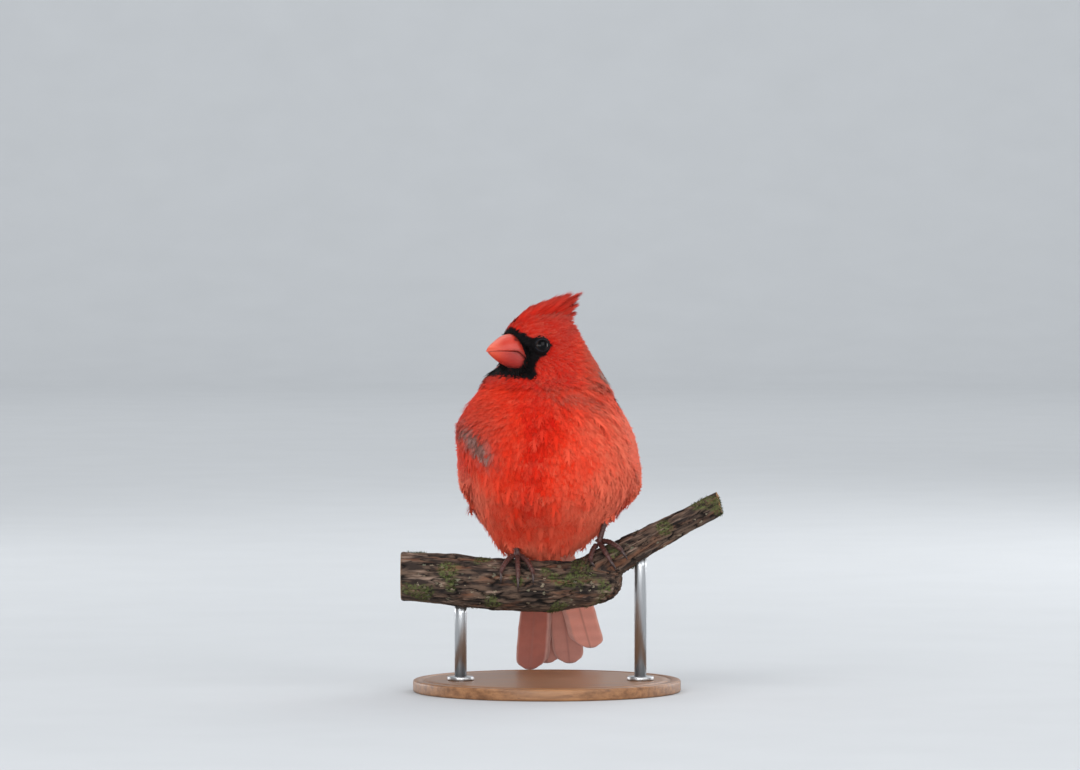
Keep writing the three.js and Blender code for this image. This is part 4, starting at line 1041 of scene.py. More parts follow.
def eye_ball(name, centre, look, across, up):
    polar = np.linspace(0.03, pi - 0.03, 40)[:, None]
    radius = EYE["radius"] * (1 + 0.035 * np.exp(-(polar / 0.6) ** 2))
    ray = np.cos(polar)[..., None] * look + np.sin(polar)[..., None] * around(circle(64), across, up)
    points, faces = loft(centre + ray * radius[..., None])
    marks = {"look": unit(points - centre) @ look}
    piece(f"eye_ball_{name}", points, faces, EYEBALL, "eye", marks, replaces=(f"eye_{name}",))


def lids(name, centre, look, across, up):
    turns, fold = circle(96), circle(20)[:, None]
    share = (1 - np.cos(fold)) / 2
    wide = np.cos(turns) * mix(LID["opening"][0], LID["outer"][0], share)
    high = np.sin(turns) * mix(LID["opening"][1], LID["outer"][1], share)
    wrinkles = 0.03 * np.sin(turns * 31) + 0.04 * np.sin(share * 14)
    radius = EYE["radius"] + 0.05 + 0.16 * np.sin(fold) + 0.14 * np.exp(-(share / 0.12) ** 2) + wrinkles
    depth = np.sqrt(radius**2 - wide**2 - high**2)
    rings = centre + depth[..., None] * look + wide[..., None] * across + high[..., None] * up
    shares = np.broadcast_to(share, wide.shape).ravel()
    piece(f"lids_{name}", *ring_loop(rings), LIDS, "eye", {"share": shares})


def eye_feathers(name, centre, look, across, up):
    """Very short black feathers over the outer part of the lids."""
    count = 260
    turns, reach = random.uniform(0, 2 * pi, count), random.uniform(3.25, 4.6, count)
    out = around(turns, across, 0.88 * up)
    root = centre + out * reach[:, None] + look * np.sqrt((EYE["radius"] + 0.25) ** 2 - reach**2)[:, None]
    normal = unit(root - centre)
    way = unit(0.5 * unit(out) - 0.8 * head_forward + random.normal(0, 0.12, (count, 3)))
    length = random.uniform(0.8, 1.4, count)
    tip = root + on_surface(way, normal) * length[:, None] + normal * 0.05
    middle = mix(root, tip, 0.5) + normal * 0.1
    brow = step(2.45, 2.85, reach * np.sin(turns) - 0.4 * np.cos(turns) ** 2)
    marks = markings(root) | {"black": 1 - brow}
    grow(f"eye_feathers_{name}", root, middle, tip, normal, length * 0.24, 5, 0.16, marks)


# Bill
def bill_half(upper):
    ridge, mouth, keel, width = (smooth(t) for t in (BILL_RIDGE, BILL_MOUTH, BILL_KEEL, BILL_HALF_WIDTH))
    tip = BILL["tip"] if upper else BILL["lower_tip"]
    forward = mix(BILL["back"], tip, np.sin(np.linspace(0, pi / 2, 60)))[:, None]
    line = mouth(forward) - (0 if upper else BILL["gap"]) * step(20, 9, forward)
    end = np.maximum(ridge(forward), line + 0.5) if upper else np.minimum(keel(forward), line - 0.5)
    half = np.maximum(width(forward) - (0 if upper else 0.35), 0.3)
    turns, across = np.linspace(0, pi, 49), np.linspace(0, 1, 9)[1:-1]
    boxy = (0.94 if upper else 0.62) + 0.3 * step(5, 13, forward) * (not upper)
    hollow = line + (0.5 if upper else -0.5) * np.sin(pi * across) * (half > 1)
    left = np.hstack([half * round_power(np.cos(turns), boxy), mix(-half, half, across)])
    up = np.hstack([line + (end - line) * np.abs(np.sin(turns)) ** boxy, hollow])
    forward, apart = np.broadcast_to(forward, left.shape), np.abs(up - line)
    # The nostril is an indent with painted shade in it.
    nostril = spot((forward - 8.4, 0.8), (up - 2.6, 0.5)) * (np.abs(left) > 2) * upper
    far = capped((forward - BILL["back"]) / (tip - BILL["back"]), 0.0, 1.0)
    # Edge is painted shade along the line of the mouth, wider and deeper toward the gape.
    edge = np.maximum(0.3 * step(0.4, 0.1, apart), step(1.5, 0.1, apart) * step(15, 8, forward) * 0.6)
    # The lighter band of the ridge is a painted highlight along the top of the upper mandible.
    crown = step(3.2, 0.4, np.abs(left)) * (apart > 1.5) * 0.75 * upper
    marks = {"along": far, "edge": capped(edge), "nostril": capped(nostril), "ridge": capped(crown),
             # Lower is painted shade over the rear of the lower mandible.
             "lower": step(0.85, 0.35, far) * 0.75 * (not upper)}
    name = "upper" if upper else "lower"
    points, faces = loft(head_point(forward, left * (1 - 0.12 * nostril), up))
    piece(f"bill_{name}_horn", points, faces, BILL_HORN, "bill", marks, replaces=(f"bill_{name}",))


def bristles():
    """Fine dark bristles round the base of the bill and under the chin."""
    count = 800
    turns = random.uniform(0, 2 * pi, count)
    at_gape = np.arange(count) < 260
    turns = np.where(at_gape, pi * (turns > pi) + random.normal(-0.1, 0.35, count), turns)
    forward = 4.9 + 3.2 * np.maximum(np.sin(turns), 0) + 1.6 * np.maximum(-np.sin(turns), 0)
    left, up = 6.9 * np.cos(turns), -2.4 + 7.4 * np.sin(turns)
    root = head_point(forward + random.normal(0, 0.3, count) - 0.6, left, up)
    out = unit(left[:, None] * head_left + (up + 2.4)[:, None] * head_up)
    above = step(-0.1, 0.6, np.sin(turns))[:, None]
    length = 2.2 + 1.2 * random.random(count) + 1.8 * (up < -6) - 1.1 * above[:, 0]
    way = unit(head_forward * (mix(0.5, 1.1, above) + 0.25 * random.normal(0, 1, (count, 1)))
               + out * mix(0.8, 0.25, above) + random.normal(0, 0.15, (count, 3)))
    middle = root + way * (length * 0.5)[:, None] + out * 0.3 * above
    tip = root + unit(way + (out * 0.3 - head_forward * 0.2) * (1 - above)) * length[:, None]
    marks = {key: np.full(count, float(key == "black")) for key in ("black", "grey", "dull", "pale", "deep")}
    grow("bristles", root, middle, tip, out, np.full(count, 0.35), 3, 0.12, marks)


# Vanes of the wings and tail
def blade(at, out, half):
    """A thin closed blade from a grid of points, their outward directions and half thickness."""
    rows, across = at.shape[:2]
    thick = out * half[..., None]
    points = np.vstack([(at + thick).reshape(-1, 3), (at - thick).reshape(-1, 3)])
    ids = np.arange(rows * across).reshape(rows, across)
    top = np.stack([corner.ravel() for corner in (ids[:-1, :-1], ids[:-1, 1:], ids[1:, 1:], ids[1:, :-1])], 1)
    under = rows * across
    rim = np.concatenate([ids[0], ids[1:, -1], ids[-1, -2::-1], ids[-2:0:-1, 0]])
    after = np.roll(rim, -1)
    sides = np.stack([after, rim, rim + under, after + under], 1)
    return points, [np.vstack([top, top[:, ::-1] + under, sides])]


class VaneSet:
    """Collects vanes of one node, each with its own strip of the bake map."""

    def __init__(self):
        self.parts, self.marks = [], {name: [] for name in ("along", "across", "barb", "tone", "side")}

    def add(self, at, out, half_width, length, thick=0.13, side=0.0):
        rows, across = at.shape[:2]
        half = np.full((rows, across), thick)
        half[:, across // 2] += 0.16
        half[:, [0, -1]] = 0.05
        self.parts.append(blade(at, out, half))
        along = np.linspace(0, 1, rows)[:, None]
        barb = along * length - np.abs(VANE_ACROSS) * half_width * 0.9
        new = (along, VANE_ACROSS, barb, random.random(), float(side))
        for values, value in zip(self.marks.values(), new):
            values.append(np.tile(np.broadcast_to(value, (rows, across)).ravel(), 2))

    def piece(self, name, material, slot, node):
        points, faces = joined(self.parts)
        marks = {mark: np.concatenate(values) for mark, values in self.marks.items()}
        order = np.concatenate([np.full(len(p), i) for i, (p, _) in enumerate(self.parts)])
        below = np.concatenate([np.repeat([0.0, 0.5], len(p) // 2) for p, _ in self.parts])
        strip = (order + 0.5 + 0.42 * marks["across"]) / len(self.parts)
        uv = np.stack([strip, 0.01 + below + 0.47 * marks["along"]], 1)
        piece(name, points, faces, material, slot, marks, uv, replaces=(node,))


def wing_vane(vanes, side, root, tip, edge_angle, width, out, slope, blunt, rows=22):
    t = 1 - (1 - np.linspace(0, 1, rows)) ** 1.3
    along = mix(root, tip, t)
    radius = wing_radius(along) + out
    middle = edge_angle(along) - np.degrees(width / 2 / radius)
    rounded = np.sqrt(np.clip(1 - np.maximum((t - blunt) / (1 - blunt), 0) ** 2.2, 0.01, 1))
    half = width / 2 * np.minimum(1, 0.8 + t) * rounded * (1 + 0.03 * random.normal(0, 1, rows))
    offset = half[:, None] * VANE_ACROSS
    angle = middle[:, None] + np.degrees(offset / radius[:, None])
    height = out - slope * (width / 2 - offset) + 0.18 * (1 - VANE_ACROSS**2) * rounded[:, None]
    vanes.add(wing_point(side, along[:, None], angle, height), wing_out(side, angle), width / 2, tip - root)


def flight_feather(vanes, side, share, part, width, blunt):
    """A flight feather of the arm or the hand, from its share of the whole row."""
    part, start, end = FLIGHT[part], FLIGHT["start"], FLIGHT["end"]
    root_angle = mix(*FLIGHT["root_angle"], share)
    end_angle = mix(*part["end_angle"], (share - part["first_share"]) / 0.5)
    wing_vane(vanes, side, part["root"], float(smooth(part["tips"])(share)),
              lambda along: mix(root_angle, end_angle, (along - start) / (end - start)), width, FLIGHT["out"],
              FLIGHT["slope"], blunt)


def wings():
    for name, side in SIDES:
        arm, hand, cover = VaneSet(), VaneSet(), VaneSet()
        for share in np.linspace(0, 0.5, 9):
            flight_feather(arm, side, share, "arm", 9 if share < 0.16 else 8, 0.8)
        for share in np.linspace(0.5, 1, 9):
            flight_feather(hand, side, share, "hand", 7.6, 0.72)
        for first, last, root, tip, out, width, count in COVERT_ROWS:
            for share in np.arange(count) / (count - 1):
                edge = mix(first, last, share) + random.normal(0, 0.3)
                end = tip + 1.4 * sin(pi * share) + random.normal(0, 0.4)
                wing_vane(cover, side, root, end, lambda along: edge + 0.1 * (along - root), width, out, 0.16,
                          0.55, 14)
        parts = (arm, "arm", "secondaries"), (hand, "hand", "primaries"), (cover, "covert", "coverts")
        for vanes, part, node in parts:
            vanes.piece(f"wing_{name}_{part}_vanes", VANES, "wing_coat", f"wing_{name}_{node}")
        wing_shoulder(name, side)
        flank(name, side)
        scapulars(name, side)


def wing_shoulder(name, side):
    """Small soft feathers over the shoulder of the folded wing, and the skin under them."""
    count = 420
    along, angle = random.uniform(-10.5, 3, count), random.uniform(42, 108, count)
    root, normal = wing_point(side, along, angle, 1.2), wing_out(side, angle)
    way = on_surface(unit(wing_axis + random.normal(0, 0.08, (count, 3))), normal)
    length = random.uniform(5, 7, count)
    middle = root + way * (length / 2)[:, None] + normal * 0.75
    tip = root + way * length[:, None] + normal * 0.35
    marks = markings(root)
    marks["dull"] = clamp(marks["dull"] + 0.45 * step(92, 76, angle))
    grow(f"shoulder_{name}", root, middle, tip, normal, length * 0.3, 7, 0.42, marks, "wing_coat")
    along = np.linspace(WING["shoulder"] - 1, WING["shield_end"], 16)
    along, angle = np.meshgrid(along, np.linspace(43, 107, 24), indexing="ij")
    at, out = wing_point(side, along, angle, -0.4), wing_out(side, angle)
    points, faces = blade(at, out, np.full(along.shape, 1.3))
    piece(f"shoulder_skin_{name}", points, faces, PLUMAGE, "wing_coat", bare_marks(points, 0.5, 0.7))


def flank(name, side):
    """Long breast feathers that lie over the front and the lower edge of the folded wing."""
    def beside_wing(points):
        s, a, _ = wing_coords(points, side)
        before = (s > -19) & (s < -6.5) & (a > 46) & (a < 112)
        return before | (s > -15) & (s < 16) & (a > 102) & (a < 115)

    count = 900
    along = random.uniform(-10, 17, count)
    angle = mix(mix(58, 95, step(-6, 6, along)), 106, random.random(count))
    on_wing = wing_point(side, along, angle, 1.9)
    beside, _ = scatter(*SKIN[:2], 0.9, beside_wing, 70000)
    s, a, out = wing_coords(beside, side)
    root, along, angle = np.vstack([on_wing, beside]), np.append(along, s), np.append(angle, a)
    own = np.append(np.full(count, 1.9), out + drawn_in(side, s, a))
    size = random.uniform(0.8, 1.15, len(root))
    at_front = step(-4, -9, along)
    tip_along, tip_angle = along + mix(7, 10, at_front) * size, angle - mix(13, 3, at_front) * size
    over = step(112, 100, tip_angle) * step(-17, -8, tip_along)
    tip_out = mix(own + 1.1, 2.3, over) - 0.9 * step(20, 34, along)
    middle = wing_point(side, (along + tip_along) / 2, (angle + tip_angle) / 2, mix(own, tip_out, 0.6) + 0.75)
    tip = wing_point(side, tip_along, tip_angle, tip_out)
    middle, tip = over_skin(middle, 0.6), over_skin(tip, 0.5, mix(2.0, 9, over))
    normal = unit(wing_out(side, angle - 6) + np.array([0, -1.2, 0.35]) * step(92, 80, root[:, 2])[:, None])
    marks = markings(root)
    marks["dull"] *= 0.25
    marks["grey"] *= 0.4
    # Painted light: the lower flank feathers painted paler, to light them where they face down into shade.
    marks["pale"] = clamp(marks["pale"] + 0.5 * step(96, 84, root[:, 2]))
    grow(f"flank_{name}", root, middle, tip, normal, 2.3 * size, 10, 0.4, marks)


def scapulars(name, side):
    """The grey-brown feathers of the back that hang over the root of the folded wing."""
    def above_wing(points):
        s, a, _ = wing_coords(points, side)
        return (s > -21) & (s < -7) & (a > 28) & (a < 52)

    root, _ = scatter(*SKIN[:2], 1.5, above_wing, 40000)
    s, a, out = wing_coords(root, side)
    out = out + drawn_in(side, s, a) + 1.2
    size = random.uniform(0.8, 1.2, len(root))
    middle = over_skin(wing_point(side, s + 5 * size, a + 3.5 * size, out), 1.0)
    tip = over_skin(wing_point(side, s + 10 * size, a + 7 * size, np.minimum(out, 2.4)), 0.9)
    grey = clamp((0.75 if side > 0 else 0.2) + 0.4 * noise_at(root, 2.0, 4), 0.9)
    marks = markings(root) | {"dull": np.full(len(root), 0.85), "grey": grey}
    grow(f"scapulars_{name}", root, middle, tip, wing_out(side, a), 2.2 * size, 10, 0.4, marks)


# Tail
tail_dip = radians(TAIL["dip"])
tail_along = unit(np.array([TAIL["drift"] / TAIL["length"], cos(tail_dip), -sin(tail_dip)]))
tail_up = np.array([0, sin(tail_dip), cos(tail_dip)])
tail_left = unit(np.cross(tail_along, tail_up))


def tail_point(along, left, up):
    along, left, up = columns(along, left, up)
    return np.array(TAIL["place"]) + along * tail_along + left * tail_left + up * tail_up


def tail_vane(vanes, place, up, length, side, rows=30):
    root = -5
    t = 1 - (1 - np.linspace(0, 1, rows)) ** 1.3
    past = clamp((t - 0.9) / 0.1)
    rounded = np.sqrt(np.clip(1 - past**2.6, 0.16, 1))
    ragged = 1 + 0.008 * random.normal(0, 1, rows)
    share = (mix(0.42, 1, np.minimum(1, t / 0.7)) * rounded * ragged)[:, None]
    along = mix(root, length, t)[:, None] - 0.8 * VANE_ACROSS**2 * past[:, None]
    fan = mix(TAIL["root_fan"], TAIL["fan"] + TAIL["left_wider"] * (side > 0), t)
    left = (place * fan)[:, None] + TAIL["width"] / 2 * share * VANE_ACROSS
    at = tail_point(along, left, up - 0.35 * np.abs(VANE_ACROSS) * share)
    vanes.add(at, tail_up, TAIL["width"] / 2, length - root, 0.12, side)


def tail():
    vanes = VaneSet()
    for i, (spread, shorter) in enumerate(TAIL_SPREAD):
        outer = i > 2
        for side in (-1, 1):
            level = i + 3 if outer else 2 * i + (side > 0)
            length = TAIL["length"] - shorter - (TAIL["left_shorter"] if outer and side > 0 else 0)
            tail_vane(vanes, side * spread, TAIL["top"] - TAIL["level"] * level, length, side * outer)
    vanes.piece("tail_feathers", TAIL_VANES, "tail_coat", "tail")
    tail_coverts("upper", 1, 5.2, 24, 0.1)
    tail_coverts("under", -1, -5.6, 30, 0.5)


def tail_coverts(name, sign, up, length, pale):
    """Soft feathers that close the root of the tail above and below, and the skin under them."""
    count = 260
    place = random.uniform(-1, 1, count)
    start = random.uniform(-6, length * 0.42, count)
    reach = length * (0.4 + 0.16 * random.random(count))
    end = start + reach
    root = tail_point(start, place * 5.6, up - sign * (1.2 + 1.8 * place**2) - sign * 0.06 * start)
    tip = tail_point(end, place * 5.2, up - sign * (0.4 + 2.2 * place**2) - sign * 0.1 * end)
    normal = unit(tail_up * sign + place[:, None] * tail_left * 0.6)
    marks = markings(root)
    marks["dull"] *= 0.6
    marks["pale"] = clamp(marks["pale"] + pale)
    middle = mix(root, tip, 0.5) + normal * 0.7
    grow(f"tail_coverts_{name}_soft", root, middle, tip, normal, reach * 0.24, 9, 0.5, marks)
    rows, wide = np.linspace(-7, length * 0.5, 14)[:, None], np.linspace(-1, 1, 13)
    at = tail_point(rows, wide * 5.6, up - sign * (1.6 + 2.0 * wide**2) - sign * 0.08 * rows)
    points, faces = blade(at, tail_up, np.broadcast_to(np.linspace(0.9, 0.3, 14)[:, None], at.shape[:2]))
    piece(f"tail_coverts_{name}_bed", points, faces, PLUMAGE, "red_coat", bare_marks(points, 0.5, 0.6),
          replaces=(f"tail_coverts_{name}",))


# Feet
def scuted(name, path, radii, sides, scutes, front, node):
    """A limb with overlapping plates along its front and small pads along its back."""
    t = np.linspace(0, scutes, len(path))[:, None]
    saw, facing = 1 - (t % 1), (1 + np.cos(circle(sides))) / 2
    ripple = 1 + 0.1 * saw * facing + 0.08 * (0.5 + 0.5 * np.sin(t * pi)) * (1 - facing)
    points, faces = loft(tube_rings(path, radii, sides, front, ripple))
    marks = {"scute": capped(np.broadcast_to(saw, ripple.shape), 1.0, 1.0)}
    piece(name, points, faces, FOOT_SKIN, "feet", marks, replaces=(node,))


def feet():
    for name, foot in FEET.items():
        slope = radians(foot["slope"])
        x, z = foot["place"]

        def on_branch(shift, angle, reach):
            """A point by its shift along the branch, its angle from the top and its reach."""
            shift, angle, reach = columns(shift, np.radians(angle), reach)
            return (np.array([x, 0, z]) + shift * np.array([cos(slope), 0, sin(slope)])
                    + reach * np.cos(angle) * np.array([-sin(slope), 0, cos(slope)])
                    + reach * np.sin(angle) * np.array([0.0, -1.0, 0.0]))

        reach = foot["radius"] + 0.3 + TOE_RADIUS + 0.1
        t = np.linspace(0, 1, 60)
        top = np.array([foot["top"][0], foot["y"], foot["top"][1] + 3.5])
        path = mix(on_branch(0.2, 6, reach + 0.6), top, t[:, None])
        radii = np.interp(t, [0, 0.12, 0.5, 0.8, 1], [1.75, 1.15, 1.0, 1.15, 1.5])
        scuted(f"shank_{name}", path, radii, 24, 9, (0, -1, 0), f"tarsus_{name}")
        for toe, shape in TOES.items():
            toe_and_claw(f"{name}_{toe}", on_branch, reach, foot["wrap"][toe], *shape)


def toe_and_claw(name, on_branch, reach, wrap, start, end, shift_start, shift_end, claw):
    span = (end - start) * wrap
    t = np.linspace(-0.08, 1, 60)
    s = clamp(t)
    path = on_branch(mix(shift_start, shift_end, s**0.8), start + span * t, reach + 0.25 * clamp(-t))
    knuckles = 1 + 0.12 * np.cos(2 * pi * 3 * s) ** 2
    radii = np.interp(s, [0, 0.5, 0.85, 1], [1.0, 0.96, 0.9, 0.74]) * knuckles * 0.97
    out = unit(path[0] - on_branch(0, 0, 0))
    scuted(f"toe_{name}_scaled", path, radii, 20, 11, out, f"toe_{name}")
    t = np.linspace(-0.06, 1, 26)
    s = clamp(t)
    lift = 0.7 * np.sin(pi * s) - 0.45 * s
    path = on_branch(shift_end + 0.25 * t, start + span + claw * wrap * t, reach + 0.1 + lift)
    radii = np.interp(s, [0, 0.2, 0.7, 1], [0.72, 0.7, 0.4, 0.08])
    marks = {"along": capped(np.repeat(s, 16), 0.0, 1.0)}
    piece(f"claw_{name}_horn", *loft(tube_rings(path, radii, 16, out)), CLAW_HORN, "feet", marks,
          replaces=(f"claw_{name}",))


def cuffs():
    """Short feathers of the thigh that hang round the top of each shank."""
    for name, foot in FEET.items():
        count = 150
        x, z = foot["top"]
        out = around(random.uniform(0, 2 * pi, count), np.array([1.0, 0, 0]), np.array([0, 1.0, 0]))
        level = random.uniform(4.4, 8.6, count)
        ankle = np.array([x, foot["y"] + 0.9, z])
        root = ankle + out * (1.7 + 0.16 * level)[:, None] + head_up * level[:, None]
        way = unit(np.array([0, -0.12, -1.0]) + out * 0.16 + random.normal(0, 0.07, (count, 3)))
        length = random.uniform(3.0, 4.6, count)
        tip = root + way * length[:, None]
        middle = mix(root, tip, 0.5) + out * 0.5
        normal = unit(out + np.array([0, -0.1, 0]))
        grow(f"cuff_{name}", root, middle, tip, normal, length * 0.24, 8, 0.3, markings(root))


# Perch
def perch_surface():
    turns = circle(90)
    x = np.linspace(LIMB[0][0], LIMB[-1][0], 140)[:, None]
    centre, radius = smooth([(a, b) for a, b, _ in LIMB]), smooth([(a, c) for a, _, c in LIMB])
    limb = np.broadcast_arrays(x, radius(x) * np.cos(turns), centre(x) + radius(x) * np.sin(turns))
    x = np.linspace(FORK[0][0], FORK[-1][0], 110)[:, None]
    centre, radius = smooth(FORK), smooth(FORK_RADIUS)
    slope = np.arctan(centre(x + 0.5) - centre(x - 0.5))
    up = radius(x) * np.sin(turns)
    fork = np.broadcast_arrays(x - up * np.sin(slope), radius(x) * np.cos(turns),
                               centre(x) + up * np.cos(slope))
    return fused("perch_rough", [loft(np.stack(limb, -1)), loft(np.stack(fork, -1))], 0.62, 3)


def perch():
    points, triangles = perch_surface()
    normals = point_normals(points, triangles)
    x, y, z = points.T
    slope = radians(FORK_SLOPE)
    (limb_end, limb_middle, _), (fork_end, fork_middle) = LIMB[0], FORK[-1]
    on_fork = step(12, 20, x) * step(47, 52, z)
    along = mix(x, x * cos(slope) + z * sin(slope), on_fork)
    rise = mix(z, z * cos(slope) - x * sin(slope), on_fork)
    stretched = np.stack([along / 4.5, y, rise], 1)
    ridges = 1 - np.abs(noise_at(stretched, 2.1, 8)) * 3.2
    # Cracks are sunk into the bark and painted near black as shade.
    crack = step(0.55, 0.95, ridges) * step(-0.25, 0.2, noise_at(points, 9, 9) + 0.2)
    plates = noise_at(stretched, 1.1, 11) + 0.7 * noise_at(stretched, 2.6, 13)
    ends = np.minimum(step(limb_end + 0.2, limb_end + 1.2, x), step(fork_end + 1.0, fork_end - 0.6, x))
    height = (0.4 * noise_at(points, 11, 10) + 0.42 * plates - 1.0 * crack - 0.1) * ends
    points = points + normals * height[:, None]
    cut = clamp(step(-0.75, -0.95, normals[:, 0]) * (x < limb_end + 1.5)
                + step(0.75, 0.9, normals @ np.array([cos(slope), 0, sin(slope)])) * (x > fork_end - 6))
    middle = np.where(x < 0, limb_middle, fork_middle * cos(slope) - fork_end * sin(slope))
    ring = 5.5 * np.hypot(y, np.where(x < 0, z, rise) - middle)
    marks = {"crack": crack, "lichen": step(0.2, 0.4, noise_at(points, 10, 12)), "cut": cut, "ring": ring,
             "grain": stretched * MM}
    piece("branch_bark", points, [triangles], BARK, "bark", marks, replaces=("perch",))
    moss(points, triangles, normals)
    flakes(points, triangles, normals)


def feet_clear(roots, room):
    places = [foot["place"][0] for foot in FEET.values()]
    return np.all([np.hypot(roots[:, 0] - x, roots[:, 1]) > room for x in places], 0)


def moss(points, triangles, normals):
    def keep(roots):
        return (noise_at(roots, 10, 12) > 0.33) & feet_clear(roots, 9) & (roots[:, 0] > -59)

    roots, chosen = scatter(points, triangles, 0.55, keep, 26000)
    normal = normals[triangles[chosen, 0]]
    corners = []
    for _ in range(MOSS_LEAVES):
        way = unit(normal + random.normal(0, 0.75, normal.shape))
        side = unit(np.cross(way, random.normal(0, 1, normal.shape))) * 0.11
        length = random.uniform(0.5, 1.25, len(roots))[:, None]
        corners += [roots + side - normal * 0.1, roots - side - normal * 0.1, roots + way * length]
    leaves = repeated(np.arange(len(corners)).reshape(-1, 3), len(roots), len(corners))
    marks = {"tone": np.repeat(random.random(len(roots)), len(corners)),
             "along": np.tile([0.0, 0.0, 1.0], MOSS_LEAVES * len(roots))}
    piece("branch_moss", np.stack(corners, 1).reshape(-1, 3), [leaves], MOSS, "bark", marks)


def flakes(points, triangles, normals):
    """Small round flakes of lichen, each with a raised rim."""
    def keep(roots):
        return (noise_at(roots, 8, 14) > 0.1) & feet_clear(roots, 8) & (np.abs(roots[:, 0] - 5) < 62)

    roots, chosen = scatter(points, triangles, 2.2, keep, 900)
    parts, tones, turns = [], [], circle(15)
    for root, up in zip(roots, normals[triangles[chosen, 0]]):
        side = unit(np.cross(up, random.normal(0, 1, 3)))
        size = random.uniform(0.35, 1.0)
        rim = size * (1 + 0.2 * np.sin(turns * 5 + random.uniform(0, 6)) + random.normal(0, 0.12, 15))
        out = around(turns, side, np.cross(up, side)) * rim[:, None]
        rings = [root - up * 0.3 + out * share + up * height for share, height in FLAKE_PROFILE]
        parts.append(loft(np.array(rings)))
        tones.append(np.full(len(parts[-1][0]), random.random()))
    piece("branch_lichen", *joined(parts), LICHEN, "bark", {"tone": np.concatenate(tones)})


# Stand
def turned_solid(profile, centre, sides):
    radius, height = np.array(profile, float).T[..., None]
    x, y = centre[0] + radius * np.cos(circle(sides)), centre[1] + radius * np.sin(circle(sides))
    return loft(np.stack([x, y, np.broadcast_to(height, x.shape)], -1))


def rounded(radius, low, high, edge):
    turns = np.linspace(0, pi / 2, 7)
    lower = [(radius - edge + edge * sin(a), low + edge - edge * cos(a)) for a in turns]
    upper = [(radius - edge + edge * cos(a), high - edge + edge * sin(a)) for a in turns]
    return lower + upper


def stand():
    radius, height, edge = BASE["radius"], BASE["height"], BASE["edge"]
    groove = [(radius - inward, height - depth) for inward, depth in BASE["groove"]]
    rings = [(0.5 * radius, 0), (radius - 2 * edge, 0)] + rounded(radius, 0, height, edge) + groove
    rings += [(share * radius, height) for share in (0.85, 0.6, 0.3, 0.1)]
    piece("base_turned", *turned_solid(rings, (0, BASE["y"]), 160), BASE_WOOD, "base_wood",
          replaces=("stand_base",))
    for name in ("left", "right"):
        x, top = ROD[name]
        levels = (height + 0.1, top - 3, top + 0.6)
        rod = turned_solid([(ROD["radius"], level) for level in levels], (x, 0), 48)
        flange = turned_solid(rounded(5.6, height + 0.05, height + 1.7, 0.5), (x, 0), 64)
        piece(f"rod_{name}_turned", *joined([rod, flange]), ROD_STEEL, "rod_steel",
              replaces=(f"stand_rod_{name}",))


# Room, light and camera
def camera():
    rise = radians(CAMERA["elevation"])
    data = bpy.data.cameras.new("view")
    data.sensor_width = CAMERA["sensor"]
    data.lens = CAMERA["sensor"] * CAMERA["distance"] / CAMERA["frame_width"]
    data.clip_start, data.clip_end = 0.05, 30
    thing = put_in_scene("view", data)
    thing.location = Vector(CAMERA["aim"]) * MM + Vector((0, -cos(rise), sin(rise))) * CAMERA["distance"] * MM
    thing.rotation_euler = (pi / 2 - rise, 0, 0)
    bpy.context.scene.camera = thing


def softbox(name, place, size, power, aim=(0, 0, 0.1)):
    data = bpy.data.lights.new(name, "AREA")
    data.shape = "RECTANGLE"
    data.size, data.size_y = size
    data.energy = power
    thing = put_in_scene(name, data)
    thing.location = place
    thing.rotation_euler = (Vector(aim) - Vector(place)).to_track_quat("-Z", "Y").to_euler()


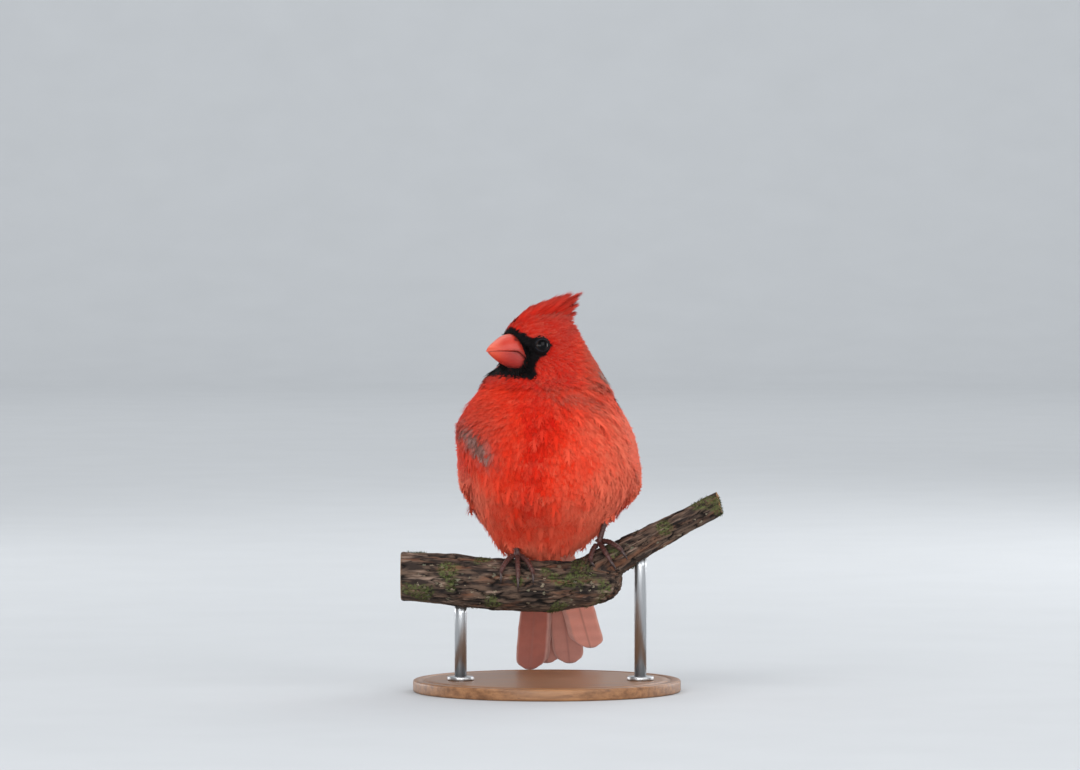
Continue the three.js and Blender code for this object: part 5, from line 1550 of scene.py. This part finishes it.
def lights():
    """Area lights by name, place and size in metres, and power in watts, and the light of the room."""
    softbox("key", (-1.0, -1.4, 1.5), (1.5, 1.2), 20.5)
    softbox("fill", (1.5, -1.3, 0.8), (1.4, 1.2), 16)
    softbox("low", (-0.1, -1.8, 0.2), (1.8, 0.5), 17)
    softbox("low_right", (-1.0, 0.7, 0.2), (1.0, 0.4), 5)
    softbox("low_left", (1.0, 0.7, 0.2), (1.0, 0.4), 5)
    softbox("backdrop", (0, 2.0, 2.6), (4.0, 1.0), 70, (0, 4.8, 0.9))
    softbox("top", (0.1, 0.3, 2.0), (2.0, 2.0), 17)
    softbox("back", (0.7, 1.2, 1.0), (1.0, 0.8), 7)
    world = bpy.data.worlds.new("studio")
    world.use_nodes = True
    background = world.node_tree.nodes["Background"]
    background.inputs["Color"].default_value = paint(222, 228, 234)
    background.inputs["Strength"].default_value = 0.42
    bpy.context.scene.world = world
    bpy.context.scene.view_settings.view_transform = "Standard"


def room():
    """A floor that curves up into a wall behind the model, in metres."""
    depth, radius, wide, high = 3.6, 1.2, 10.0, 5.0
    bend = [(depth + radius * sin(a), radius - radius * cos(a)) for a in np.linspace(0, pi / 2, 24)]
    profile = [(-6.0, 0.0), *bend, (depth + radius, high)]
    points = np.array([(x, y, z) for y, z in profile for x in (-wide / 2, wide / 2)]) / MM
    a = np.arange(len(profile) - 1) * 2
    mesh = mesh_of("floor_sweep", points, [np.stack([a, a + 1, a + 3, a + 2], 1)])
    mesh.materials.append(floor_material())
    put_in_scene("floor_sweep", mesh)


def skin():
    points, triangles, _ = SKIN
    piece("bird_skin", points, [triangles], PLUMAGE, "red_coat", bare_marks(points, 0.45, 0.5),
          replaces=("head", "neck", "torso", "thigh_right", "thigh_left"))


PLUMAGE, VANES, TAIL_VANES = plumage_material(), vane_material(), tail_material()
BILL_HORN, EYEBALL, LIDS = bill_material(), eye_material(), lid_material()
FOOT_SKIN, CLAW_HORN = foot_material(), claw_material()
BARK, MOSS, LICHEN = bark_material(), moss_material(), lichen_material()
BASE_WOOD, ROD_STEEL = base_material(), steel_material()
SKIN = skin_surface()
SKIN_TREE = BVHTree.FromPolygons(SKIN[0].tolist(), SKIN[1].tolist())

camera()
lights()
room()
skin()
coat()
crest()
eyes()
bill_half(True)
bill_half(False)
bristles()
wings()
tail()
feet()
cuffs()
perch()
stand()
